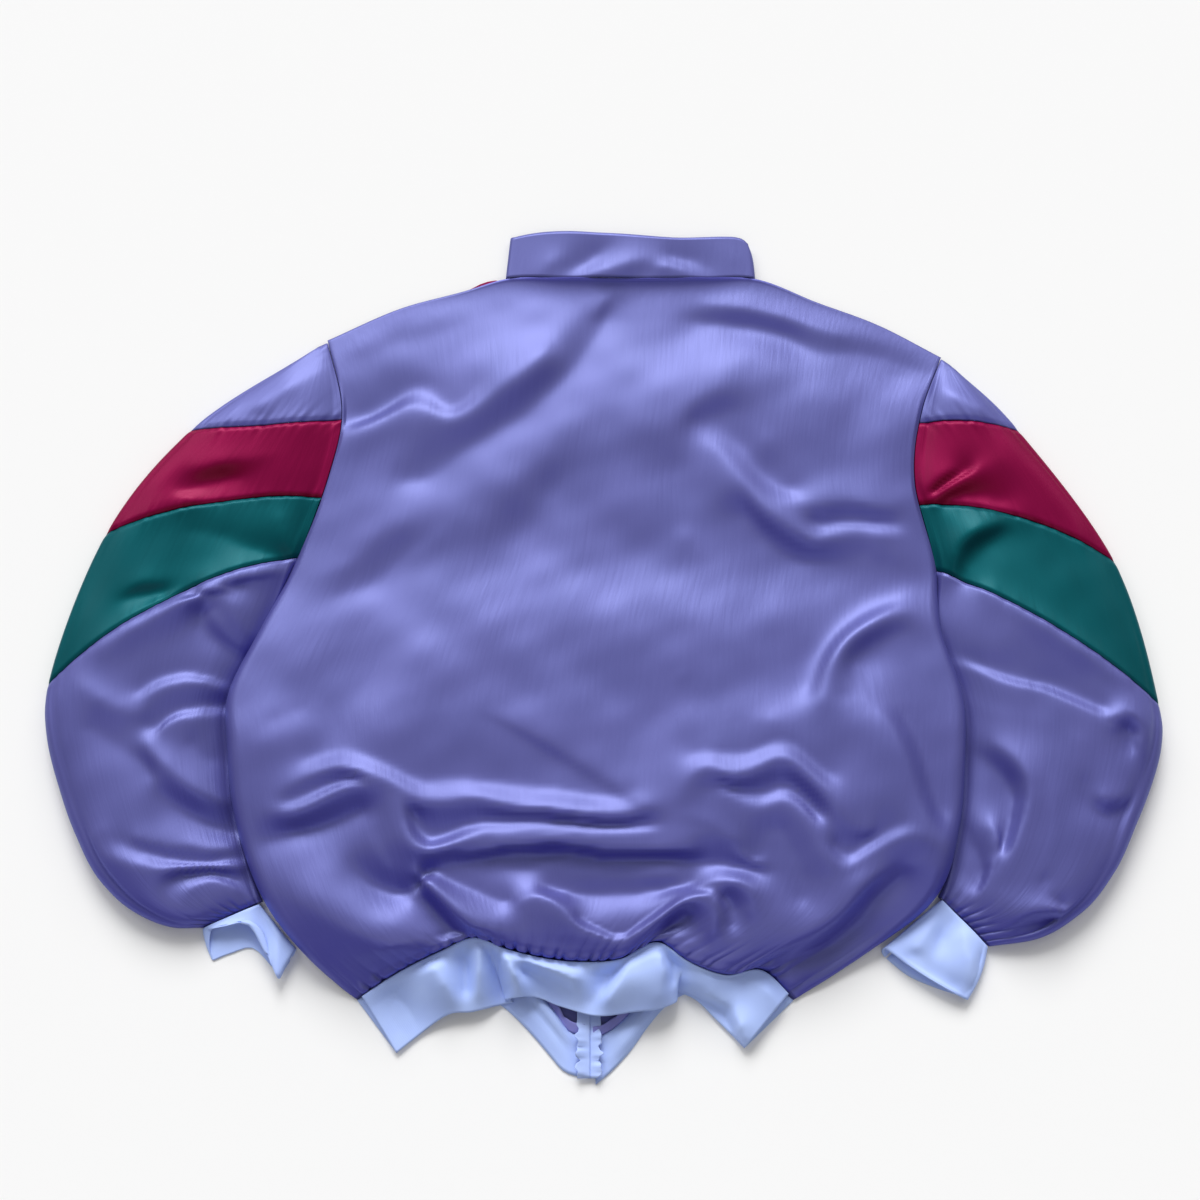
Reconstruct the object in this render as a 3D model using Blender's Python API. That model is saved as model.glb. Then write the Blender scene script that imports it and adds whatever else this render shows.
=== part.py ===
"""Satin shell jacket, laid out flat on its front with the back upwards.

Sizes are millimetres: x to the right, y towards the collar, z up from the surface that it lies on.
Each piece of cloth is a grid whose points are moved onto the lie of the cloth and then given a wall.
"""
from collections import namedtuple

import bmesh
import bpy
import numpy as np

MM = 0.001

# Walls and gaps
SATIN_WALL = 1.2
KNIT_WALL = 1.8
TAPE_WALL = 0.8
SEAM = 0.4
HALF_SEAM = SEAM / 2
WAIST_GAP = 1.6
TUBE_SEAM = 1.4

# Body, from the shoulder tips (down 0) to the ends of the waist seam (down 1).
# seam: height of the panel's edge; roll: radius of its rounded side; tuck: where the roll starts, in
# degrees below (negative) or above the level; crown: rise of the middle over the rolls.
Body = namedtuple("Body", "down left_x left_y right_x right_y seam roll tuck crown")
BODY = [
    Body(0.00, -256, 282, 314, 265, 4.0, 4, 40, 0),
    Body(0.12, -239, 212, 292, 208, 12.0, 8, 40, 6),
    Body(0.25, -249, 145, 283, 140, 13.0, 9, 40, 8),
    Body(0.38, -275, 70, 300, 58, 9.0, 10, 20, 9),
    Body(0.48, -305, 3, 302, 0, 1.8, 12, -45, 9),
    Body(0.57, -330, -55, 317, -55, 1.8, 14, -50, 9),
    Body(0.67, -329, -105, 318, -100, 1.8, 16, -50, 9),
    Body(0.77, -317, -175, 309, -175, 1.8, 16, -50, 9),
    Body(0.87, -286, -246, 281, -241, 1.8, 14, -50, 12),
    Body(0.94, -250, -288, 230, -279, 1.8, 10, -40, 16),
    Body(1.00, -211, -321, 164, -321, 4.4, 6, 20, 0),
]

# Shoulder and neck edge of the back: rise over the line between the shoulder tips, height at the seam
TopEdge = namedtuple("TopEdge", "across rise height")
TOP_EDGE = [
    TopEdge(0.00, 0, 4),
    TopEdge(0.12, 34, 5),
    TopEdge(0.22, 52, 6),
    TopEdge(0.29, 65, 8),
    TopEdge(0.38, 66, 12),
    TopEdge(0.50, 67, 13),
    TopEdge(0.62, 70, 12),
    TopEdge(0.70, 72, 8),
    TopEdge(0.80, 51, 6),
    TopEdge(0.90, 30, 5),
    TopEdge(1.00, 0, 4),
]
TOP_REACH = 0.35
SHOULDER_ROLL = 0.035

# Waist seam of the back: rise over the line between its ends, height, how far the cloth hangs over it
Hem = namedtuple("Hem", "across rise height overhang")
HEM = [
    Hem(0.00, 0, 4.4, 0),
    Hem(0.10, 23, 14, 6),
    Hem(0.20, 41, 21, 8),
    Hem(0.27, 51, 25, 6),
    Hem(0.34, 42, 26, 2),
    Hem(0.50, 31, 25, 0),
    Hem(0.60, 33, 25, 0),
    Hem(0.69, 47, 26, 2),
    Hem(0.75, 32, 25, 8),
    Hem(0.84, 20, 19, 6),
    Hem(0.93, 24, 11, 3),
    Hem(1.00, 0, 4.4, 0),
]
HEM_REACH = 0.28
HEM_ROLL = 0.10
OVERHANG_REACH = 0.16
UNDERARM = 0.38

# Free edge of the back waistband
BandEdge = namedtuple("BandEdge", "across x y height")
BACK_BAND_EDGE = [
    BandEdge(0.00, -175, -365, 4.4),
    BandEdge(0.06, -152, -347, 5),
    BandEdge(0.12, -132, -334, 6),
    BandEdge(0.20, -109, -331, 7),
    BandEdge(0.28, -84, -325, 7),
    BandEdge(0.36, -60, -319, 9),
    BandEdge(0.45, -36, -327, 10),
    BandEdge(0.53, -6, -335, 10),
    BandEdge(0.62, 26, -332, 10),
    BandEdge(0.70, 54, -329, 9),
    BandEdge(0.76, 66, -315, 7),
    BandEdge(0.82, 75, -317, 6),
    BandEdge(0.92, 96, -337, 5),
    BandEdge(1.00, 120, -361, 4.4),
]
BAND_PUFF = 4.0

# Fronts, flat on the surface, from the side (across 0) to the zip (across 1)
FrontTop = namedtuple("FrontTop", "across rise")
FRONT_TOP = [
    FrontTop(0.00, 0),
    FrontTop(0.15, 17),
    FrontTop(0.30, 34),
    FrontTop(0.45, 48),
    FrontTop(0.54, 60),
    FrontTop(0.58, 61),
    FrontTop(0.63, 48),
    FrontTop(0.70, 26),
    FrontTop(0.85, 5),
    FrontTop(1.00, 0),
]
FrontHem = namedtuple("FrontHem", "across rise edge_x edge_y")
FRONT_HEM_LEFT = [
    FrontHem(0.00, 0, -175, -365),
    FrontHem(0.22, 38, -143, -336),
    FrontHem(0.45, 58, -112, -322),
    FrontHem(0.63, 44, -86, -326),
    FrontHem(0.78, 18, -57, -353),
    FrontHem(0.86, 0, -44, -368),
    FrontHem(0.93, -17, -33, -380),
    FrontHem(1.00, -20, -19, -385),
]
FRONT_HEM_RIGHT = [
    FrontHem(0.00, 0, 120, -361),
    FrontHem(0.22, 34, 94, -334),
    FrontHem(0.42, 52, 74, -316),
    FrontHem(0.60, 44, 55, -325),
    FrontHem(0.76, 8, 38, -342),
    FrontHem(0.88, -13, 20, -366),
    FrontHem(0.95, -20, 5, -382),
    FrontHem(1.00, -23, -6, -391),
]
ZIP_TOP = (28, 283)
ZIP_WAIST = (-12, -330)
ZIP_END = (-13, -386)
ZIP_HALF_GAP = 4.5
ARMHOLE_INSET = 1.5
SIDE_INSET = 6
INSET_REACH = 0.07
YOKE_END = 0.20
FRONT_HEM_REACH = 0.30

# Stand collar, a flattened ring that is open at the zip
COLLAR_LEFT = -91
COLLAR_RIGHT = 143
COLLAR_FOLD = 4.5
COLLAR_TOP = 9.0
COLLAR_CROWN = 4.0
CollarEdge = namedtuple("CollarEdge", "across deep")
COLLAR_BACK = [
    CollarEdge(0.00, 41),
    CollarEdge(0.18, 47),
    CollarEdge(0.38, 46),
    CollarEdge(0.70, 41),
    CollarEdge(0.90, 41),
    CollarEdge(0.97, 38),
    CollarEdge(1.00, 33),
]
COLLAR_FRONT_DEEP = 42
# Share of the way to the zip in which the depth evens out
COLLAR_EVEN = 0.4
# How far the neck seam of the front half falls from the fold (across 0) to the zip (across 1)
NeckFall = namedtuple("NeckFall", "across fall")
NECK_FALL = [
    NeckFall(0.00, 0),
    NeckFall(0.28, 34),
    NeckFall(0.65, 54),
    NeckFall(1.00, 58),
]

# Sleeves, from the shoulder tip (down 0) to the cuff seam (down 1).
# beside: station of the body's edge that the inner edge follows; clear: gap to it; seam: height at the
# armhole; closed: 0 where the tube is sewn to the body, 1 where it is a whole tube.
SleeveLie = namedtuple("SleeveLie", "down beside clear seam inner_roll outer_roll inner_top outer_top "
                                    "crown closed")
SLEEVE_LIE = [
    SleeveLie(0.00, 0.004, 0.5, 5, 2, 4, 6, 6, 0, 0),
    SleeveLie(0.20, 0.140, 0.5, 12, 8, 8, 13, 14, 6, 0),
    SleeveLie(0.38, 0.285, 0.5, 13, 8, 9, 14, 16, 7, 0),
    SleeveLie(0.56, 0.380, 0.5, 9, 8, 9, 11, 16, 10, 0),
    SleeveLie(0.66, 0.473, 1.0, 2, 5, 10, 10, 19, 12, 1),
    SleeveLie(0.75, 0.566, 1.0, 2, 5, 11, 10, 21, 12, 1),
    SleeveLie(0.82, 0.660, 1.0, 2, 5, 11, 10, 22, 12, 1),
    SleeveLie(0.88, 0.733, 1.0, 2, 5, 11, 10, 21, 11, 1),
    SleeveLie(0.93, 0.790, 1.0, 2, 5, 10, 10, 20, 9, 1),
    SleeveLie(0.97, 0.830, 1.5, 2, 5, 8, 10, 16, 6, 1),
    SleeveLie(1.00, 0.857, 2.0, 2, 4, 5, 9, 9, 1, 1),
]
# Outer edge of each sleeve, and the bow of its rows towards the collar
OuterEdge = namedtuple("OuterEdge", "down outer_x outer_y bow")
SLEEVE_LEFT = [
    OuterEdge(0.00, -268, 273, 0),
    OuterEdge(0.20, -378, 191, -4),
    OuterEdge(0.38, -449, 91, 10),
    OuterEdge(0.56, -491, -48, 18),
    OuterEdge(0.66, -489, -92, 10),
    OuterEdge(0.75, -475, -138, 4),
    OuterEdge(0.82, -457, -181, 0),
    OuterEdge(0.88, -434, -220, -3),
    OuterEdge(0.93, -403, -247, -4),
    OuterEdge(0.97, -370, -260, -4),
    OuterEdge(1.00, -344, -260, 0),
]
SLEEVE_RIGHT = [
    OuterEdge(0.00, 325, 255, 0),
    OuterEdge(0.20, 382, 190, 2),
    OuterEdge(0.38, 461, 64, 14),
    OuterEdge(0.56, 491, -66, 8),
    OuterEdge(0.66, 491, -98, 6),
    OuterEdge(0.75, 481, -132, 4),
    OuterEdge(0.82, 464, -170, 0),
    OuterEdge(0.88, 441, -214, -3),
    OuterEdge(0.93, 411, -248, -4),
    OuterEdge(0.97, 372, -270, -4),
    OuterEdge(1.00, 331, -276, 0),
]
CAP_END = 0.20
MAGENTA_END = 0.38
TEAL_END = 0.56

# Knit cuffs, from the sleeve seam (down 0) to the free edge (down 1)
CuffLie = namedtuple("CuffLie", "down seam inner_roll outer_roll inner_top outer_top crown closed")
CUFF_LIE = [
    CuffLie(0.00, 2, 4, 5, 9, 9, 1, 1),
    CuffLie(0.35, 2, 4, 4, 8, 8, 4, 1),
    CuffLie(0.70, 2, 4, 4, 8, 8, 5, 1),
    CuffLie(1.00, 2, 4, 4, 8, 8, 3, 1),
]
CuffEdge = namedtuple("CuffEdge", "down inner_x inner_y outer_x outer_y")
CUFF_LEFT = [
    CuffEdge(0.00, -296, -240, -344, -261),
    CuffEdge(0.35, -283, -255, -343, -271),
    CuffEdge(0.70, -272, -268, -341, -281),
    CuffEdge(1.00, -263, -278, -338, -289),
]
CUFF_RIGHT = [
    CuffEdge(0.00, 292, -236, 330, -277),
    CuffEdge(0.35, 278, -250, 326, -293),
    CuffEdge(0.70, 261, -264, 319, -309),
    CuffEdge(1.00, 246, -276, 311, -322),
]
# How the free edge of each cuff rises over the line between its ends, from the inner fold to the outer one
CuffHem = namedtuple("CuffHem", "part rise")
CUFF_HEM_LEFT = [
    CuffHem(0.00, 0),
    CuffHem(0.10, -14),
    CuffHem(0.17, -24),
    CuffHem(0.28, -12),
    CuffHem(0.40, 0),
    CuffHem(0.52, 8),
    CuffHem(0.75, 5),
    CuffHem(1.00, 0),
]
CUFF_HEM_RIGHT = [
    CuffHem(0.00, 0),
    CuffHem(0.50, -2),
    CuffHem(1.00, 0),
]
TUBE_END_ANGLE = 262

# Main folds: path in plan, half width, height (negative for a trough), sideways lean of the crest
Fold = namedtuple("Fold", "name path width height lean")
BACK_FOLDS = [
    Fold("left shoulder ridge", [(-232, 196), (-185, 208), (-121, 230), (-39, 274)], 26, 9, 0),
    Fold("left shoulder trough", [(-164, 150), (-93, 198), (-5, 273)], 30, -6, 0),
    Fold("left diagonal", [(-235, 105), (-183, 138), (-120, 176), (-39, 215)], 30, 5, 0),
    Fold("right shoulder trough", [(82, 305), (174, 290), (257, 248)], 26, -5, 0),
    Fold("right curve", [(67, 191), (125, 151), (152, 117), (204, 94), (272, 97)], 24, 8, 0),
    Fold("right middle", [(269, 24), (217, -14), (196, -52), (184, -82)], 26, 6, 0),
    Fold("right side", [(212, -55), (257, -103), (273, -157), (290, -196)], 24, 8, 0),
    Fold("long diagonal crease", [(-116, -64), (-37, -111), (47, -161)], 9, 2, 0),
    Fold("upper waist ridge", [(-170, -144), (-95, -153), (14, -168), (60, -163)], 18, 8, 0),
    Fold("waist roll", [(-157, -190), (-126, -186), (-70, -177), (20, -178), (99, -186), (144, -216)],
         20, 13, -6),
    Fold("waist trough", [(-136, -210), (-74, -201), (10, -208), (120, -217)], 14, -8, 0),
    Fold("lower roll", [(-65, -228), (-20, -262), (14, -276), (50, -249), (91, -235)], 24, 12, -4),
    Fold("flap edge", [(-160, -214), (-94, -243), (-52, -279)], 14, 8, 0),
    Fold("left pocket", [(-289, -153), (-257, -130), (-225, -124), (-187, -137), (-171, -166), (-153, -193)],
         16, 9, 0),
    Fold("left trough", [(-300, -186), (-252, -180), (-200, -168)], 20, -7, 0),
    Fold("left lower roll", [(-290, -200), (-254, -226), (-203, -252), (-122, -261)], 24, 9, 0),
    Fold("right loop", [(48, -155), (89, -125), (113, -133), (153, -118), (200, -160), (252, -178)], 15, 9, 0),
    Fold("right hook", [(85, -136), (130, -155), (159, -153), (185, -179), (206, -213), (246, -189), (279, -192)],
         15, 9, 0),
    Fold("right lower roll", [(138, -285), (170, -268), (197, -248), (245, -213)], 24, 8, 0),
    Fold("hem hook", [(60, -244), (93, -238), (96, -262), (105, -286)], 14, 8, 0),
]
LEFT_SLEEVE_FOLDS = [
    Fold("elbow ridge", [(-466, -36), (-417, -74), (-395, -92), (-372, -120), (-335, -142)], 16, 8, 0),
    Fold("upper arc", [(-404, -70), (-380, -52), (-350, -46), (-334, -50)], 10, 6, 0),
    Fold("inner arc", [(-394, -86), (-366, -70), (-336, -68)], 8, -5, 0),
    Fold("elbow trough", [(-372, -146), (-350, -164), (-334, -172)], 18, -7, 0),
    Fold("lower loop", [(-440, -196), (-395, -212), (-350, -210), (-322, -208)], 14, 7, 0),
    Fold("underarm fold", [(-352, 34), (-328, 30), (-312, 4)], 12, 6, 0),
]
RIGHT_SLEEVE_FOLDS = [
    Fold("long ridge", [(318, -28), (352, -50), (400, -66), (440, -82), (468, -90)], 20, 10, 6),
    Fold("upright fold", [(346, -106), (364, -130), (362, -180), (358, -214)], 14, 8, 0),
    Fold("side fold", [(318, -157), (340, -158), (362, -146)], 10, 5, 0),
    Fold("outer curve", [(416, -142), (418, -166), (436, -180), (455, -178)], 14, -5, 0),
    Fold("lower ridge", [(338, -254), (368, -244), (400, -242)], 14, 6, 0),
]
FOLD_STEPS = 8
FOLD_TAPER = 0.22
# Shares of a panel's length over which its folds rise from a seam
TOP_FREE = 0.08
HEM_FREE = 0.10
CUFF_FREE = 0.05

# Gathers, one to a column of the grid
BACK_GATHERS = 34
GATHER_HEIGHT = 2.2
GATHER_REACH = 0.09
GATHER_ROWS = 0.86
CUFF_GATHERS = 8
CUFF_GATHER_HEIGHT = 1.4
CUFF_GATHER_REACH = 0.07
CUFF_GATHER_ROWS = 0.8

# Gap between the rows of two sewn pieces, as a share of the length
ROW_GAP = 0.0044

# Columns and rows of the grids
ROLL_COLUMNS = 4
BACK_ROWS = 26
BAND_ROWS = 3
FRONT_COLUMNS = 12
YOKE_ROWS = 3
FRONT_ROWS = 10
FRONT_BAND_ROWS = 2
LOWER_COLUMNS = 3
TUBE_ROLL_COLUMNS = 4
UPPER_COLUMNS = CUFF_GATHERS
TUBE_COLUMNS = LOWER_COLUMNS + 2 * TUBE_ROLL_COLUMNS + UPPER_COLUMNS
COLLAR_FRONT_COLUMNS = 4
COLLAR_BACK_COLUMNS = 10
COLLAR_ROWS = 4
SLEEVE_BAND_ROWS = 5
LOWER_SLEEVE_ROWS = 14
CUFF_ROWS = 4
ZIP_ROWS = 16

# Zip
TAPE_WIDTH = 12
TAPE_START = 3.4
# The tape steps up from the satin to the thicker knit over this length, from this far above the waist
TAPE_STEP_START = 40
TAPE_STEP = 30
CHAIN_WIDTH = 5.0
CHAIN_HEIGHT = 2.4
SLIDER_SIZE = (6, 11, 4)

# Materials: colour (linear), roughness, metallic
Finish = namedtuple("Finish", "colour roughness metallic")
FINISHES = {
    "lilac_satin": Finish((0.118, 0.113, 0.402), 0.45, 0.0),
    "magenta_satin": Finish((0.223, 0.003, 0.056), 0.45, 0.0),
    "teal_satin": Finish((0.002, 0.076, 0.091), 0.45, 0.0),
    "blue_knit": Finish((0.305, 0.413, 0.812), 0.9, 0.0),
    "zip_nylon": Finish((0.37, 0.49, 0.89), 0.6, 0.0),
    "zip_metal": Finish((0.45, 0.45, 0.47), 0.4, 1.0),
}


def ease(share):
    """Smooth step from 0 to 1."""
    share = np.clip(share, 0, 1)
    return share * share * (3 - 2 * share)


def round_off(share):
    """Quarter-circle rise from 0 to 1."""
    return np.sqrt(np.clip(1 - (1 - np.clip(share, 0, 1)) ** 2, 0, 1))


def along(table, column, at):
    """Smooth reading of one named column of a table, whose first column is the station."""
    stations = np.array([row[0] for row in table], float)
    values = np.array([getattr(row, column) for row in table], float)
    slopes = np.gradient(values, stations)
    at = np.clip(at, stations[0], stations[-1])
    low = np.clip(np.searchsorted(stations, at) - 1, 0, len(stations) - 2)
    span = stations[low + 1] - stations[low]
    share = (at - stations[low]) / span
    square = share * share
    cube = square * share
    return ((2 * cube - 3 * square + 1) * values[low]
            + (cube - 2 * square + share) * span * slopes[low]
            + (3 * square - 2 * cube) * values[low + 1]
            + (cube - square) * span * slopes[low + 1])


def smooth_path(points):
    """Points of a smooth curve through a fold's own points."""
    Station = namedtuple("Station", "at x y")
    table = [Station(at, x, y) for at, (x, y) in enumerate(points)]
    steps = np.linspace(0, len(points) - 1, (len(points) - 1) * FOLD_STEPS + 1)
    return np.stack([along(table, "x", steps), along(table, "y", steps)], axis=1)


def fold_bump(fold, x, y):
    """Share of a fold's height at points of the plan, and the way its crest leans."""
    path = smooth_path(fold.path)
    start = path[:-1]
    run = path[1:] - start
    length = np.hypot(run[:, 0], run[:, 1])
    travelled = np.concatenate([[0], np.cumsum(length)])
    off_x = x[:, None] - start[None, :, 0]
    off_y = y[:, None] - start[None, :, 1]
    share = np.clip((off_x * run[:, 0] + off_y * run[:, 1]) / length ** 2, 0, 1)
    away = np.hypot(off_x - share * run[:, 0], off_y - share * run[:, 1])
    near = np.argmin(away, axis=1)
    pick = np.arange(len(x))
    placed = (travelled[near] + share[pick, near] * length[near]) / travelled[-1]
    taper = ease(placed / FOLD_TAPER) * ease((1 - placed) / FOLD_TAPER)
    across = np.clip(away[pick, near] / fold.width, 0, 1)
    bump = taper * (0.5 + 0.5 * np.cos(np.pi * across))
    side = np.stack([run[near, 1], -run[near, 0]], axis=1) / length[near][:, None]
    return bump, side


def add_folds(folds, x, y, z, free):
    """Raise the folds of a panel, where it is free of its seams."""
    lift = np.zeros_like(x)
    shift = np.zeros((len(x), 2))
    for fold in folds:
        bump, side = fold_bump(fold, x, y)
        lift += fold.height * bump
        shift += fold.lean * bump[:, None] * side
    return x + shift[:, 0] * free, y + shift[:, 1] * free, z + lift * free


def back_point(across, down):
    """Back panel: left to right across, collar to waist down."""
    roll_share = ROLL_COLUMNS / (2 * ROLL_COLUMNS + BACK_GATHERS)
    left_x, left_y, right_x, right_y = (along(BODY, name, down)
                                        for name in ("left_x", "left_y", "right_x", "right_y"))
    roll = along(BODY, "roll", down)
    start = np.radians(along(BODY, "tuck", down))
    width = np.hypot(right_x - left_x, right_y - left_y)
    reach = roll * np.cos(np.maximum(start, 0))
    left_angle = start + (np.pi / 2 - start) * np.clip(across / roll_share, 0, 1)
    right_angle = start + (np.pi / 2 - start) * np.clip((1 - across) / roll_share, 0, 1)
    middle = np.clip((across - roll_share) / (1 - 2 * roll_share), 0, 1)
    place = (reach - roll * np.cos(left_angle) + middle * (width - 2 * reach) + roll * np.cos(right_angle))
    part = place / width
    x = left_x + (right_x - left_x) * part
    y = left_y + (right_y - left_y) * part
    angle = np.minimum(left_angle, right_angle)
    z = along(BODY, "seam", down) + roll * (np.sin(angle) - np.sin(start))
    z = z + along(BODY, "crown", down) * (1 - (2 * middle - 1) ** 4)

    to_top = np.clip(1 - down / TOP_REACH, 0, 1)
    to_hem = np.clip((down - 1 + HEM_REACH) / HEM_REACH, 0, 1)
    y = y + along(TOP_EDGE, "rise", part) * to_top ** 2 + along(HEM, "rise", part) * to_hem ** 2
    hang = np.sin(np.pi * np.clip((down - 1 + OVERHANG_REACH) / OVERHANG_REACH, 0, 1))
    y = y - along(HEM, "overhang", part) * hang

    free = ease(np.minimum(across, 1 - across) / roll_share)
    free = free * ease(down / TOP_FREE) * ease((1 - down) / HEM_FREE)
    x, y, z = add_folds(BACK_FOLDS, x, y, z, free)
    gather = -np.cos(2 * np.pi * BACK_GATHERS * middle) * ease((down - 1 + GATHER_REACH) / GATHER_REACH)
    z = z + GATHER_HEIGHT * gather * np.sin(np.pi * middle) ** 0.5
    top_height = along(TOP_EDGE, "height", part)
    z = top_height + (z - top_height) * round_off(down / SHOULDER_ROLL)
    hem_height = along(HEM, "height", part)
    z = hem_height + (z - hem_height) * round_off((1 - down) / HEM_ROLL)
    y = y - HALF_SEAM * (down <= 0) + HALF_SEAM * (down >= 1)
    return x, y, z


def hem_point(across):
    """Waist seam of the back, at the edge of the waistband, clear of the rolls at its ends."""
    end = BODY[-1]
    width = end.right_x - end.left_x
    reach = end.roll * np.cos(np.radians(end.tuck))
    part = (reach + across * (width - 2 * reach)) / width
    y = end.left_y + along(HEM, "rise", part) - WAIST_GAP
    return end.left_x + width * part, y, along(HEM, "height", part)


def back_band_point(across, down):
    """Back half of the waistband: left to right across, seam to free edge down."""
    seam_x, seam_y, seam_z = hem_point(across)
    edge_x, edge_y, edge_z = (along(BACK_BAND_EDGE, name, across) for name in ("x", "y", "height"))
    x = seam_x + (edge_x - seam_x) * down
    y = seam_y + (edge_y - seam_y) * down
    puff = BAND_PUFF * np.sin(np.pi * down) ** 2 * np.sin(np.pi * across)
    return x, y, seam_z + (edge_z - seam_z) * down + puff


def zip_x(y):
    """Centre front line at a height y of the plan."""
    share = np.clip((ZIP_TOP[1] - y) / (ZIP_TOP[1] - ZIP_WAIST[1]), 0, 1)
    return ZIP_TOP[0] + (ZIP_WAIST[0] - ZIP_TOP[0]) * share


def front_hem_table(side):
    return FRONT_HEM_LEFT if side < 0 else FRONT_HEM_RIGHT


def front_point(side, across, down):
    """One front, flat on the surface: side to zip across, shoulder to waist down."""
    name = "left" if side < 0 else "right"
    under_side = ease((down - UNDERARM) / INSET_REACH) * ease((1 - down) / INSET_REACH)
    inset = ARMHOLE_INSET + (SIDE_INSET - ARMHOLE_INSET) * under_side
    outer_x = along(BODY, name + "_x", down) - side * inset
    outer_y = along(BODY, name + "_y", down)
    middle_y = ZIP_TOP[1] + (ZIP_WAIST[1] - ZIP_TOP[1]) * down
    middle_x = zip_x(middle_y) + side * ZIP_HALF_GAP
    x = outer_x + (middle_x - outer_x) * across
    y = outer_y + (middle_y - outer_y) * across
    to_top = np.clip(1 - down / TOP_REACH, 0, 1)
    to_hem = np.clip((down - 1 + FRONT_HEM_REACH) / FRONT_HEM_REACH, 0, 1)
    y = y + along(FRONT_TOP, "rise", across) * to_top ** 2
    y = y + along(front_hem_table(side), "rise", across) * to_hem ** 2
    y = y - SEAM * (down <= 0) + HALF_SEAM * (down >= 1)
    return x, y, np.zeros_like(x)


def front_band_point(side, across, down):
    """Front half of the waistband, flat on the surface."""
    table = front_hem_table(side)
    end = np.ones_like(across)
    seam_x, seam_y, seam_z = front_point(side, across, end)
    seam_y = seam_y - SEAM
    x = seam_x + (along(table, "edge_x", across) - seam_x) * down
    y = seam_y + (along(table, "edge_y", across) - seam_y) * down
    return x, y, np.zeros_like(x)


def neck_y(x):
    """Top edge of the back at a place x."""
    tip = BODY[0]
    part = (x - tip.left_x) / (tip.right_x - tip.left_x)
    return tip.left_y + (tip.right_y - tip.left_y) * part + along(TOP_EDGE, "rise", part)


def collar_point(around, up):
    """Collar: zip, left fold, back, right fold, zip around; neck seam to top edge up."""
    columns = 2 * COLLAR_FRONT_COLUMNS + 2 * ROLL_COLUMNS + COLLAR_BACK_COLUMNS
    at = around * columns
    first_front = np.clip(at / COLLAR_FRONT_COLUMNS, 0, 1)
    at = at - COLLAR_FRONT_COLUMNS
    first_fold = np.clip(at / ROLL_COLUMNS, 0, 1)
    at = at - ROLL_COLUMNS
    back = np.clip(at / COLLAR_BACK_COLUMNS, 0, 1)
    at = at - COLLAR_BACK_COLUMNS
    last_fold = np.clip(at / ROLL_COLUMNS, 0, 1)
    last_front = np.clip((at - ROLL_COLUMNS) / COLLAR_FRONT_COLUMNS, 0, 1)

    left_crease = COLLAR_LEFT + COLLAR_FOLD
    right_crease = COLLAR_RIGHT - COLLAR_FOLD
    zip_left = ZIP_TOP[0] - ZIP_HALF_GAP
    zip_right = ZIP_TOP[0] + ZIP_HALF_GAP
    x = zip_left + (left_crease - zip_left) * first_front
    x = x - COLLAR_FOLD * np.sin(np.pi * first_fold)
    x = x + (right_crease - left_crease) * back
    x = x + COLLAR_FOLD * np.sin(np.pi * last_fold)
    x = x + (zip_right - right_crease) * last_front
    z = COLLAR_TOP * (0.5 - 0.5 * np.cos(np.pi * (first_fold - last_fold)))
    z = z + COLLAR_CROWN * np.sin(np.pi * back)

    to_zip = np.maximum(1 - first_front, last_front)
    fall = along(NECK_FALL, "fall", to_zip)
    deep = along(COLLAR_BACK, "deep", back)
    deep = deep + (COLLAR_FRONT_DEEP - deep) * ease(to_zip / COLLAR_EVEN)
    y = neck_y(np.clip(x, left_crease, right_crease)) + SEAM - fall + deep * up
    return x, y, z


def read_row(table, down):
    """All columns of a table at the stations down."""
    return {name: along(table, name, down) for name in table[0]._fields[1:]}


def sleeve_row(side, down):
    """Lie and edges of a sleeve, whose inner edge follows the body."""
    row = read_row(SLEEVE_LIE, down)
    row.update(read_row(SLEEVE_LEFT if side < 0 else SLEEVE_RIGHT, down))
    name = "left" if side < 0 else "right"
    row["inner_x"] = along(BODY, name + "_x", row["beside"]) + side * row["clear"]
    row["inner_y"] = along(BODY, name + "_y", row["beside"])
    return row


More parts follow.
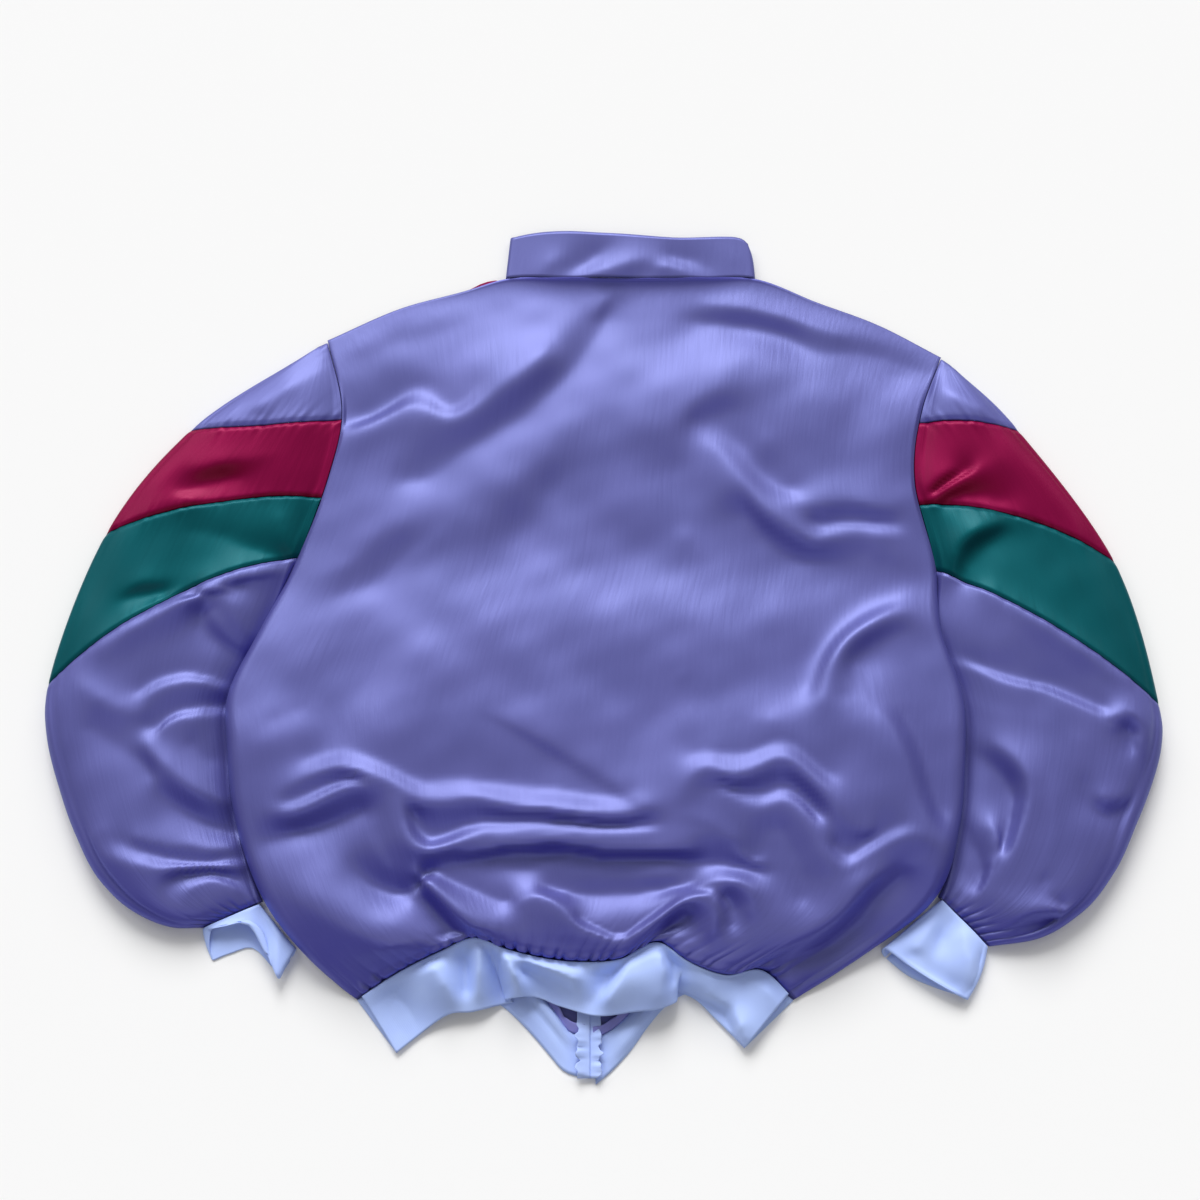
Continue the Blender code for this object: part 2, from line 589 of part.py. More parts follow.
def tube_point(row, folds, gathers, around, down):
    """Sleeve or cuff: under layer, outer roll, upper layer and inner roll around; shoulder to wrist down.

    Gives the place, and the share of the way from the inner fold to the outer one.
    """
    at = around * TUBE_COLUMNS
    under = np.clip(at / LOWER_COLUMNS, 0, 1)
    at = at - LOWER_COLUMNS
    outer = np.clip(at / TUBE_ROLL_COLUMNS, 0, 1)
    at = at - TUBE_ROLL_COLUMNS
    upper = np.clip(at / UPPER_COLUMNS, 0, 1)
    inner = np.clip((at - UPPER_COLUMNS) / TUBE_ROLL_COLUMNS, 0, 1)

    run_x = row["outer_x"] - row["inner_x"]
    run_y = row["outer_y"] - row["inner_y"]
    width = np.hypot(run_x, run_y)
    closed = np.clip(row["closed"], 0, 1)
    start = (row["inner_roll"] + TUBE_SEAM) * closed
    outer_centre = width - row["outer_roll"]
    angle = np.pi * (outer - 0.5)
    place = start + (outer_centre - start) * under + row["outer_roll"] * np.cos(angle) * (under >= 1)
    z = row["outer_top"] * (0.5 + 0.5 * np.sin(angle))

    inner_centre = row["inner_roll"]
    place = place + (inner_centre - outer_centre) * upper
    z = z + (row["inner_top"] - row["outer_top"]) * upper + row["crown"] * (1 - (2 * upper - 1) ** 4)
    turn = np.radians(90 + (TUBE_END_ANGLE - 90) * inner)
    open_step = -inner_centre * inner
    open_fall = (row["seam"] - row["inner_top"]) * inner ** 2
    closed_step = inner_centre * np.cos(turn)
    closed_fall = row["inner_top"] * (0.5 * np.sin(turn) - 0.5)
    place = place + open_step + (closed_step - open_step) * closed
    z = z + open_fall + (closed_fall - open_fall) * closed

    part = place / width
    x = row["inner_x"] + run_x * part
    y = row["inner_y"] + run_y * part
    free = (upper > 0) * ease(1 - inner) * ease((1 - down) / CUFF_FREE)
    x, y, z = add_folds(folds, x, y, z, free)
    gather = -np.cos(2 * np.pi * gathers * upper) * ease((down - 1 + CUFF_GATHER_REACH) / CUFF_GATHER_REACH)
    z = z + CUFF_GATHER_HEIGHT * gather * (upper > 0) * (upper < 1) * (gathers > 0)
    return x, y, z, part


def sleeve_point(side, folds, around, down):
    """Sleeve, whose rows bow towards the collar."""
    row = sleeve_row(side, down)
    x, y, z, part = tube_point(row, folds, CUFF_GATHERS, around, down)
    return x, y + row["bow"] * 4 * part * (1 - part), z


def cuff_point(side, around, down):
    """Knit cuff, whose free edge hangs unevenly."""
    row = read_row(CUFF_LIE, down)
    row.update(read_row(CUFF_LEFT if side < 0 else CUFF_RIGHT, down))
    x, y, z, part = tube_point(row, [], 0, around, down)
    hem = CUFF_HEM_LEFT if side < 0 else CUFF_HEM_RIGHT
    return x, y + along(hem, "rise", part) * down ** 2, z


def tape_point(side, across, down):
    """Zip tape, on the inside of a front: from the chain out across, collar to hem down."""
    y = ZIP_TOP[1] + COLLAR_FRONT_DEEP + (ZIP_END[1] - ZIP_TOP[1] - COLLAR_FRONT_DEEP) * down
    x = zip_x(y) + side * (TAPE_START + (TAPE_WIDTH - TAPE_START) * across)
    knit = ease((ZIP_WAIST[1] + TAPE_STEP_START - y) / TAPE_STEP)
    z = SATIN_WALL + SEAM + (KNIT_WALL - SATIN_WALL) * knit + TAPE_WALL
    return x, y, z


def chain_point(across, down):
    """Chain of the zip, below the slider."""
    top = ZIP_TOP[1] + COLLAR_FRONT_DEEP - SLIDER_SIZE[1] - SEAM
    y = top + (ZIP_END[1] - top) * down
    x = zip_x(y) + CHAIN_WIDTH * (across - 0.5)
    return x, y, np.full_like(x, CHAIN_HEIGHT)


def make_material(name):
    finish = FINISHES[name]
    material = bpy.data.materials.new(name)
    material.use_nodes = True
    shader = material.node_tree.nodes["Principled BSDF"]
    shader.inputs["Base Color"].default_value = (*finish.colour, 1)
    shader.inputs["Roughness"].default_value = finish.roughness
    shader.inputs["Metallic"].default_value = finish.metallic
    return material


def add_object(name, bm, material):
    mesh = bpy.data.meshes.new(name)
    bm.to_mesh(mesh)
    bm.free()
    mesh.materials.append(material)
    mesh.shade_smooth()
    piece = bpy.data.objects.new(name, mesh)
    bpy.context.collection.objects.link(piece)
    return piece


def make_sheet(name, grid, point, wall, material, upside_down=False, gather_from=None):
    """A grid of (columns, rows) moved onto its place and given a wall on its inner side."""
    bm = bmesh.new()
    bmesh.ops.create_grid(bm, x_segments=grid[0], y_segments=grid[1], size=0.5)
    if gather_from is not None:
        fine = [edge for edge in bm.edges
                if abs(edge.verts[0].co.y - edge.verts[1].co.y) < 1e-6
                and 0.5 - edge.verts[0].co.y > gather_from]
        bmesh.ops.subdivide_edges(bm, edges=fine, cuts=1, use_grid_fill=True)
    shares = np.array([(vert.co.x + 0.5, 0.5 - vert.co.y) for vert in bm.verts])
    shares = np.round(shares, 6)
    places = np.stack(point(shares[:, 0], shares[:, 1]), axis=1)
    for vert, place in zip(bm.verts, places):
        vert.co = place * MM
    if upside_down:
        bmesh.ops.reverse_faces(bm, faces=bm.faces)
    piece = add_object(name, bm, material)
    solid = piece.modifiers.new("wall", "SOLIDIFY")
    solid.thickness = wall * MM
    solid.offset = -1
    return piece


def stretch(own, start, end):
    """Stations from start to end of the whole, for shares of a piece's own length."""
    return start + (end - start) * own


def spread(own):
    """Rows of the back, closer together at the shoulder and the waist."""
    return 0.5 * own + 0.5 * (0.5 - 0.5 * np.cos(np.pi * own))


def make_body(materials):
    lilac = materials["lilac_satin"]
    knit = materials["blue_knit"]
    make_sheet("back", (2 * ROLL_COLUMNS + BACK_GATHERS, BACK_ROWS),
               lambda across, own: back_point(across, spread(own)), SATIN_WALL, lilac,
               gather_from=GATHER_ROWS)
    make_sheet("waistband_back", (2 * BACK_GATHERS, BAND_ROWS), back_band_point, KNIT_WALL, knit)
    for side, letter in ((-1, "l"), (1, "r")):
        make_sheet("front_yoke_" + letter, (FRONT_COLUMNS, YOKE_ROWS),
                   lambda across, own: front_point(side, across, stretch(own, 0, YOKE_END - ROW_GAP)),
                   SATIN_WALL, materials["magenta_satin"], upside_down=side < 0)
        make_sheet("front_" + letter, (FRONT_COLUMNS, FRONT_ROWS),
                   lambda across, own: front_point(side, across, stretch(own, YOKE_END, 1)),
                   SATIN_WALL, lilac, upside_down=side < 0)
        make_sheet("waistband_front_" + letter, (FRONT_COLUMNS, FRONT_BAND_ROWS),
                   lambda across, own: front_band_point(side, across, own), KNIT_WALL, knit,
                   upside_down=side < 0)


def make_collar(material):
    columns = 2 * COLLAR_FRONT_COLUMNS + 2 * ROLL_COLUMNS + COLLAR_BACK_COLUMNS
    make_sheet("collar", (columns, COLLAR_ROWS), collar_point, SATIN_WALL, material, upside_down=True)


def make_sleeves(materials):
    pieces = (
        ("cap", 0, CAP_END, SLEEVE_BAND_ROWS, "lilac_satin"),
        ("band_magenta", CAP_END, MAGENTA_END, SLEEVE_BAND_ROWS, "magenta_satin"),
        ("band_teal", MAGENTA_END, TEAL_END, SLEEVE_BAND_ROWS, "teal_satin"),
        ("lower", TEAL_END, 1, LOWER_SLEEVE_ROWS, "lilac_satin"),
    )
    for side, letter, folds in ((-1, "l", LEFT_SLEEVE_FOLDS), (1, "r", RIGHT_SLEEVE_FOLDS)):
        for name, start, end, rows, material in pieces:
            def panel_point(around, own):
                down = stretch(own, start + ROW_GAP / 2, end - ROW_GAP / 2)
                return sleeve_point(side, folds, around, down)

            make_sheet("sleeve_" + letter + "_" + name, (TUBE_COLUMNS, rows), panel_point, SATIN_WALL,
                       materials[material], upside_down=side > 0,
                       gather_from=CUFF_GATHER_ROWS if name == "lower" else None)
        make_sheet("cuff_" + letter, (TUBE_COLUMNS, CUFF_ROWS),
                   lambda around, own: cuff_point(side, around, own),
                   KNIT_WALL, materials["blue_knit"], upside_down=side > 0)


def make_zip(materials):
    for side, letter in ((-1, "l"), (1, "r")):
        make_sheet("zip_tape_" + letter, (1, ZIP_ROWS), lambda across, down: tape_point(side, across, down),
                   TAPE_WALL, materials["zip_nylon"], upside_down=side < 0)
    make_sheet("zip_chain", (1, ZIP_ROWS), chain_point, CHAIN_HEIGHT - SEAM, materials["zip_nylon"])
    bm = bmesh.new()
    bmesh.ops.create_cube(bm, size=1)
    bmesh.ops.scale(bm, verts=bm.verts, vec=[size * MM for size in SLIDER_SIZE])
    slider = add_object("zip_slider", bm, materials["zip_metal"])
    top = ZIP_TOP[1] + COLLAR_FRONT_DEEP
    middle = top - SLIDER_SIZE[1] / 2
    slider.location = (zip_x(middle) * MM, middle * MM, SLIDER_SIZE[2] / 2 * MM)


def main():
    for piece in list(bpy.data.objects):
        bpy.data.objects.remove(piece)
    materials = {name: make_material(name) for name in FINISHES}
    make_body(materials)
    make_collar(materials["lilac_satin"])
    make_sleeves(materials)
    make_zip(materials)


main()
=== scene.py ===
"""Looks of the satin shell jacket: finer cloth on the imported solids, materials, light and camera.

Sizes are millimetres until a mesh is written: x to the right, y towards the collar, z up from the floor.
Each piece of cloth is a grid whose points are moved onto the lie of the cloth and then given a wall.
"""
from collections import namedtuple

import bmesh
import bpy
import numpy as np
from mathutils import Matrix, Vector


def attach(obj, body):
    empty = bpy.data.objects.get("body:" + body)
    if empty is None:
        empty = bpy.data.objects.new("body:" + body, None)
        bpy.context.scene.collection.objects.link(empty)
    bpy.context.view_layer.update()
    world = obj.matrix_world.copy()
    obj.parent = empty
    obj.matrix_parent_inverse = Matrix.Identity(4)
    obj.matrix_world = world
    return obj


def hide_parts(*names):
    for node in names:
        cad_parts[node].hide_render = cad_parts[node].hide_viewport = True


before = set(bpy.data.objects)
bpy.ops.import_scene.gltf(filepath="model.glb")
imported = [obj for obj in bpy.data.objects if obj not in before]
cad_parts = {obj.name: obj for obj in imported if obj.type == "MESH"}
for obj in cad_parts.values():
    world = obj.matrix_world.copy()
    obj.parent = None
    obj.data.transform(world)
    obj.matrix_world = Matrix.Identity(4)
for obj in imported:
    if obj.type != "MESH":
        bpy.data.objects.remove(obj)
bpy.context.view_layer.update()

MM = 0.001
LETTERS = {-1: "l", 1: "r"}
SIDE_NAMES = {-1: "left", 1: "right"}

# Walls and gaps
SATIN_WALL = 0.6
KNIT_WALL = 1.3
TAPE_WALL = 0.8
SEAM = 0.4
HALF_SEAM = SEAM / 2
WAIST_GAP = 0.6
TUBE_SEAM = 1.4

# Body, from the shoulder tips (down 0) to the ends of the waist seam (down 1).
# seam: height of the panel's edge; roll: radius of its rounded side; tuck: where the roll starts, in
# degrees below (negative) or above the level; crown: rise of the middle over the rolls.
Body = namedtuple("Body", "down left_x left_y right_x right_y seam roll tuck crown")
BODY = [
    Body(0.00, -256, 282, 314, 265, 4.0, 4, 40, 0),
    Body(0.12, -239, 212, 292, 208, 12.0, 8, 60, 6),
    Body(0.25, -249, 145, 283, 140, 13.0, 9, 60, 8),
    Body(0.38, -275, 70, 300, 58, 9.0, 10, 40, 9),
    Body(0.48, -305, 3, 302, 0, 1.8, 12, -45, 9),
    Body(0.57, -330, -55, 317, -55, 1.8, 14, -50, 9),
    Body(0.67, -329, -105, 318, -100, 1.8, 16, -50, 9),
    Body(0.77, -317, -175, 309, -175, 1.8, 16, -50, 9),
    Body(0.87, -286, -246, 281, -241, 1.8, 14, -50, 12),
    Body(0.94, -250, -288, 230, -279, 1.8, 10, -40, 19),
    Body(1.00, -211, -321, 164, -321, 4.4, 6, 20, 25),
]

# Shoulder and neck edge of the back: rise over the line between the shoulder tips, height at the seam
TopEdge = namedtuple("TopEdge", "across rise height")
TOP_EDGE = [
    TopEdge(0.00, 0, 4),
    TopEdge(0.12, 34, 5),
    TopEdge(0.22, 52, 6),
    TopEdge(0.29, 65, 8),
    TopEdge(0.38, 66, 12),
    TopEdge(0.50, 67, 13),
    TopEdge(0.62, 70, 12),
    TopEdge(0.70, 72, 8),
    TopEdge(0.80, 51, 6),
    TopEdge(0.90, 30, 5),
    TopEdge(1.00, 0, 4),
]
# Shares of the panel's length that this edge bends, and that its rounding takes up
TOP_REACH = 0.35
SHOULDER_ROLL = 0.035

# Waist seam of the back: rise over the line between its ends, height, how far the cloth hangs over it,
# and how much its gathers show
Hem = namedtuple("Hem", "across rise height overhang gather")
HEM = [
    Hem(0.00, 0, 5, 0, 0.6),
    Hem(0.10, 23, 15, 6, 0.9),
    Hem(0.20, 41, 22, 8, 0.5),
    Hem(0.27, 51, 26, 6, 0.6),
    Hem(0.34, 42, 27, 2, 1.0),
    Hem(0.50, 31, 26, 0, 1.0),
    Hem(0.60, 33, 26, 0, 0.9),
    Hem(0.69, 47, 27, 2, 0.5),
    Hem(0.75, 32, 26, 8, 0.3),
    Hem(0.84, 20, 20, 6, 0.0),
    Hem(0.93, 24, 12, 3, 0.7),
    Hem(1.00, 0, 5, 0, 0.6),
]
# Shares of the panel's length that the seam bends, that its rounding and its overhang take up, and the
# station of the underarm
HEM_REACH = 0.28
HEM_ROLL = 0.025
OVERHANG_REACH = 0.16
UNDERARM = 0.38

# Free edge of the back waistband
BandEdge = namedtuple("BandEdge", "across x y height")
BACK_BAND_EDGE = [
    BandEdge(0.00, -175, -365, 4.4),
    BandEdge(0.06, -152, -347, 5),
    BandEdge(0.12, -132, -334, 7),
    BandEdge(0.20, -109, -331, 8),
    BandEdge(0.26, -86, -325, 5),
    BandEdge(0.28, -77, -323, 4),
    BandEdge(0.295, -83, -321, 7),
    BandEdge(0.31, -83, -321, 10),
    BandEdge(0.36, -62, -319, 13),
    BandEdge(0.45, -36, -327, 15),
    BandEdge(0.53, -6, -335, 16),
    BandEdge(0.62, 26, -332, 15),
    BandEdge(0.70, 52, -328, 13),
    BandEdge(0.735, 63, -322, 11),
    BandEdge(0.75, 63, -318, 7),
    BandEdge(0.77, 55, -315, 4),
    BandEdge(0.79, 60, -314, 3.5),
    BandEdge(0.84, 76, -319, 4),
    BandEdge(0.92, 97, -338, 5),
    BandEdge(1.00, 120, -361, 4.4),
]
BAND_PUFF = 4.0

# Fronts, flat on the surface, from the side (across 0) to the zip (across 1)
FrontTop = namedtuple("FrontTop", "across rise")
FRONT_TOP = [
    FrontTop(0.00, 0),
    FrontTop(0.15, 17),
    FrontTop(0.30, 34),
    FrontTop(0.45, 50),
    FrontTop(0.52, 60),
    FrontTop(0.57, 61),
    FrontTop(0.63, 48),
    FrontTop(0.70, 26),
    FrontTop(0.85, 5),
    FrontTop(1.00, 0),
]
FrontHem = namedtuple("FrontHem", "across rise edge_x edge_y")
FRONT_HEM = {
    -1: [
        FrontHem(0.00, 0, -175, -365),
        FrontHem(0.22, 38, -143, -336),
        FrontHem(0.45, 58, -112, -322),
        FrontHem(0.63, 44, -86, -326),
        FrontHem(0.78, 18, -57, -353),
        FrontHem(0.86, 0, -44, -368),
        FrontHem(0.93, -17, -33, -380),
        FrontHem(1.00, -20, -19, -385),
    ],
    1: [
        FrontHem(0.00, 0, 120, -361),
        FrontHem(0.22, 34, 94, -334),
        FrontHem(0.42, 52, 74, -316),
        FrontHem(0.60, 44, 55, -325),
        FrontHem(0.76, 8, 38, -342),
        FrontHem(0.88, -13, 20, -366),
        FrontHem(0.95, -20, 5, -382),
        FrontHem(1.00, -23, -6, -391),
    ],
}
# Height of the front band where it is not under the back one: from its seam to its free edge
FrontBandLie = namedtuple("FrontBandLie", "down left right")
FRONT_BAND_LIE = [
    FrontBandLie(0.00, 0.5, 0.5),
    FrontBandLie(0.08, 5.5, 2.5),
    FrontBandLie(0.15, 7.0, 4.0),
    FrontBandLie(0.28, 5.0, 5.0),
    FrontBandLie(0.42, 2.2, 6.0),
    FrontBandLie(0.55, 2.8, 6.0),
    FrontBandLie(0.75, 1.8, 5.0),
    FrontBandLie(0.88, 0.8, 2.0),
    FrontBandLie(0.94, 0.4, 1.6),
    FrontBandLie(1.00, 0.0, 0.0),
]
FrontBandShows = namedtuple("FrontBandShows", "across share")
FRONT_BAND_SHOWS = [
    FrontBandShows(0.00, 0),
    FrontBandShows(0.62, 0),
    FrontBandShows(0.76, 1),
    FrontBandShows(0.87, 1),
    FrontBandShows(0.94, 0.2),
    FrontBandShows(1.00, 0),
]
ZIP_TOP = (28, 283)
ZIP_WAIST = (-12, -330)
ZIP_END = (-13, -386)
ZIP_HALF_GAP = 3.5
ARMHOLE_INSET = 1.5
SIDE_INSET = 6
INSET_REACH = 0.07
YOKE_END = 0.20
YOKE_GAP = 0.002
FRONT_HEM_REACH = 0.30

# Stand collar, a flattened ring that is open at the zip
COLLAR_LEFT = -91
COLLAR_RIGHT = 143
COLLAR_FOLD = 4.5
COLLAR_TOP = 9.0
COLLAR_CROWN = 4.0
COLLAR_CROWN_FOOT = 0.6
CollarEdge = namedtuple("CollarEdge", "across deep")
COLLAR_BACK = [
    CollarEdge(0.00, 41),
    CollarEdge(0.18, 47),
    CollarEdge(0.38, 46),
    CollarEdge(0.70, 41),
    CollarEdge(0.90, 41),
    CollarEdge(0.95, 40),
    CollarEdge(0.98, 38),
    CollarEdge(1.00, 34),
]
COLLAR_FRONT_DEEP = 42
# How far the fold at each end leans in at the top
COLLAR_LEAN = (4, 2)
COLLAR_EVEN = 0.6
# How far the neck seam of the front half falls from the fold (across 0) to the zip (across 1)
NeckFall = namedtuple("NeckFall", "across fall")
NECK_FALL = [
    NeckFall(0.00, 0),
    NeckFall(0.28, 34),
    NeckFall(0.65, 54),
    NeckFall(1.00, 58),
]

# Sleeves, from the shoulder tip (down 0) to the cuff seam (down 1).
# beside: station of the body's edge that the inner edge follows; clear: gap to it; seam: height at the
# armhole; closed: 0 where the tube is sewn to the body, 1 where it is a whole tube.
SleeveLie = namedtuple("SleeveLie", "down beside clear seam inner_roll outer_roll inner_top outer_top "
                                    "crown closed")
SLEEVE_LIE = [
    SleeveLie(0.00, 0.004, 0.5, 5, 2, 4, 6, 6, 0, 0),
    SleeveLie(0.20, 0.140, 0.5, 12, 8, 8, 13, 14, 6, 0),
    SleeveLie(0.38, 0.285, 0.5, 13, 8, 9, 14, 16, 7, 0),
    SleeveLie(0.56, 0.380, -1.0, 9, 8, 9, 11, 16, 10, 0),
    SleeveLie(0.66, 0.473, -3.0, 2, 4, 10, 9, 19, 12, 1),
    SleeveLie(0.75, 0.566, -2.5, 2, 4, 11, 9, 21, 12, 1),
    SleeveLie(0.82, 0.660, -1.5, 2, 4, 11, 9, 22, 12, 1),
    SleeveLie(0.88, 0.733, -1.5, 2, 4, 11, 9, 21, 11, 1),
    SleeveLie(0.93, 0.790, -1.0, 2, 4, 10, 9, 20, 9, 1),
    SleeveLie(0.97, 0.830, 0.5, 2, 4, 8, 9, 16, 6, 1),
    SleeveLie(1.00, 0.857, 2.0, 2, 4, 5, 9, 9, 1, 1),
]
# Outer edge of each sleeve, and the bow of its rows towards the collar
OuterEdge = namedtuple("OuterEdge", "down outer_x outer_y bow")
SLEEVE_EDGE = {
    -1: [
        OuterEdge(0.00, -268, 273, 0),
        OuterEdge(0.20, -378, 191, -4),
        OuterEdge(0.38, -449, 91, 10),
        OuterEdge(0.56, -491, -48, 18),
        OuterEdge(0.66, -489, -92, 10),
        OuterEdge(0.75, -475, -138, 4),
        OuterEdge(0.82, -457, -181, 0),
        OuterEdge(0.88, -434, -220, -3),
        OuterEdge(0.93, -403, -247, -4),
        OuterEdge(0.97, -370, -260, -4),
        OuterEdge(1.00, -344, -260, 0),
    ],
    1: [
        OuterEdge(0.00, 325, 255, 0),
        OuterEdge(0.20, 382, 190, 2),
        OuterEdge(0.38, 461, 64, 14),
        OuterEdge(0.56, 491, -66, 8),
        OuterEdge(0.66, 491, -98, 6),
        OuterEdge(0.75, 481, -132, 4),
        OuterEdge(0.82, 464, -170, 0),
        OuterEdge(0.88, 441, -214, -3),
        OuterEdge(0.93, 411, -248, -4),
        OuterEdge(0.97, 372, -270, -4),
        OuterEdge(1.00, 331, -276, 0),
    ],
}

# Knit cuffs, from the sleeve seam (down 0) to the free edge (down 1)
CuffLie = namedtuple("CuffLie", "down seam inner_roll outer_roll inner_top outer_top crown closed")
CUFF_LIE = [
    CuffLie(0.00, 2, 4, 5, 9, 9, 1, 1),
    CuffLie(0.35, 2, 4, 4, 8, 8, 4, 1),
    CuffLie(0.70, 2, 4, 4, 8, 8, 5, 1),
    CuffLie(1.00, 2, 4, 4, 8, 8, 3, 1),
]
CuffEdge = namedtuple("CuffEdge", "down inner_x inner_y outer_x outer_y")
CUFF_EDGE = {
    -1: [
        CuffEdge(0.00, -296, -240, -344, -261),
        CuffEdge(0.35, -283, -255, -343, -271),
        CuffEdge(0.70, -272, -268, -341, -281),
        CuffEdge(1.00, -263, -278, -338, -289),
    ],
    1: [
        CuffEdge(0.00, 292, -236, 330, -277),
        CuffEdge(0.35, 273, -250, 326, -293),
        CuffEdge(0.70, 255, -264, 319, -309),
        CuffEdge(1.00, 239, -276, 311, -322),
    ],
}
# How the free edges of each cuff's two layers rise over the line between its ends, from the inner fold out
CuffHem = namedtuple("CuffHem", "part under upper")
CUFF_HEM = {
    -1: [
        CuffHem(0.00, 0, 0),
        CuffHem(0.10, -12, -14),
        CuffHem(0.17, -18, -24),
        CuffHem(0.24, -14, -14),
        CuffHem(0.30, -10, 2),
        CuffHem(0.38, -2, 19),
        CuffHem(0.47, 5, 26),
        CuffHem(0.75, 5, 28),
        CuffHem(1.00, 0, 28),
    ],
    1: [
        CuffHem(0.00, -6, 0),
        CuffHem(0.30, -10, -2),
        CuffHem(0.60, -6, -2),
        CuffHem(1.00, 3, 0),
    ],
}
CUFF_HEM_CURVE = 1.2
TUBE_END_ANGLE = 262

# Folds: line of a crest or trough in plan, and its heights over the smooth lie (negative for a trough),
# spread evenly along it.
# The cloth between the lines is relaxed: rounding is the radius left on a crest, spread how far from it
# the cloth comes back to its smooth lie.
Fold = namedtuple("Fold", "name path heights")
FoldSet = namedtuple("FoldSet", "rounding spread folds")
BACK_SWELLS = FoldSet(30, 55, [
    Fold("long ridge", [(-39, 174), (-61, 155), (-83, 131), (-110, 108), (-132, 89), (-154, 68),
                        (-180, 51)], (1.5, 4, 4, 1.5)),
    Fold("beside long ridge", [(-22, 158), (-49, 127), (-67, 98), (-87, 70)], (-1, -3, -3, -1)),
    Fold("right shoulder swell", [(138, 177), (179, 198), (207, 213), (227, 224)], (1, 2, 2, 1)),
    Fold("right shoulder hollow", [(213, 184), (230, 208), (246, 224)], (-1, -2, -2, -1)),
    Fold("right armhole swell", [(250, 141), (264, 169), (282, 213)], (1, 2, 2, 1)),
    Fold("chest swell", [(-78, 38), (-47, 55), (-20, 67), (2, 70)], (1, 2, 2, 1)),
    Fold("chest swell right", [(37, 42), (77, 31), (108, 27)], (1, 2, 2, 1)),
    Fold("left valley", [(-190, 19), (-203, -35), (-221, -71), (-242, -106),
                         (-267, -131)], (-1.5, -4, -4, -1.5)),
    Fold("left ridge", [(-140, 21), (-159, -17), (-169, -44), (-186, -73), (-209, -106)], (1, 3.5, 3.5, 1)),
    Fold("middle swell", [(-122, 1), (-100, 8), (-75, 9)], (1, 2, 2, 1)),
    Fold("left patch", [(-312, -114), (-291, -103), (-269, -91)], (1, 3, 3, 1)),
    Fold("waist hollow", [(85, -62), (50, -80), (24, -102), (-4, -117)], (-1, -3, -3, -1)),
    Fold("centre swell", [(-4, -1), (26, -9), (57, -12)], (1, 2, 2, 1)),
    Fold("centre swell right", [(75, -41), (91, -31), (105, -24)], (1, 2, 2, 1)),
    Fold("over the waist", [(-119, -140), (-76, -140), (-28, -147)], (-1, -2, -2, -1)),
    Fold("right shoulder tip", [(89, 262), (144, 249), (199, 237)], (1, 2, 2, 1)),
])
BACK_FOLDS = FoldSet(12, 28, [
    Fold("shoulder crest", [(-137, 202), (-116, 215), (-94, 231), (-71, 245), (-53, 259), (-35, 276),
                            (-24, 288)], (2, 4.5, 4.5, 2)),
    Fold("arm ridge", [(-269, 46), (-247, 55), (-230, 60), (-217, 70), (-208, 82), (-195, 92),
                       (-171, 98)], (2, 5, 5, 2)),
    Fold("under arm ridge", [(-156, 88), (-185, 60), (-211, 38), (-242, 31)], (-1.5, -3, -3, -1.5)),
    Fold("chest ridge", [(17, 167), (38, 183), (56, 189), (70, 196), (79, 210), (90, 219),
                         (116, 229)], (1.5, 3, 3, 1.5)),
    Fold("chest trough", [(79, 194), (97, 199), (114, 206), (132, 206)], (-1.5, -2.5, -2.5, -1.5)),
    Fold("curve hollow", [(79, 167), (66, 141), (62, 111)], (-1, -2.5, -2.5, -1)),
    Fold("right side ridge", [(277, 21), (254, 13), (236, 3), (218, -10), (207, -22), (200, -35),
                              (195, -50), (188, -76)], (3, 6, 7, 6)),
    Fold("right side roll", [(201, -61), (218, -66), (233, -75), (246, -89), (255, -108), (261, -126),
                             (266, -143), (272, -162), (281, -179), (296, -201)], (3, 7, 8, 8, 6)),
    Fold("pocket light", [(-204, -178), (-192, -195), (-179, -214)], (1.5, 4, 4, 1.5)),
    Fold("left patch ridge", [(-316, -102), (-296, -105), (-276, -102)], (1, 2, 2, 1)),
    Fold("beyond side roll", [(256, -71), (272, -95), (280, -121), (286, -148),
                              (294, -172)], (-2, -5, -5, -3)),
    Fold("over side ridge", [(265, 31), (237, 18), (214, 3), (196, -17), (184, -39),
                             (178, -64)], (-1, -4, -4, -2)),
    Fold("below side ridge", [(276, -1), (249, -10), (228, -22), (214, -37)], (-1, -3, -3, 0)),
    Fold("left lower roll", [(-304, -196), (-278, -213), (-259, -229), (-234, -243), (-210, -254),
                             (-186, -260), (-164, -263), (-138, -263)], (1, 4, 7, 7, 6, 2)),
])
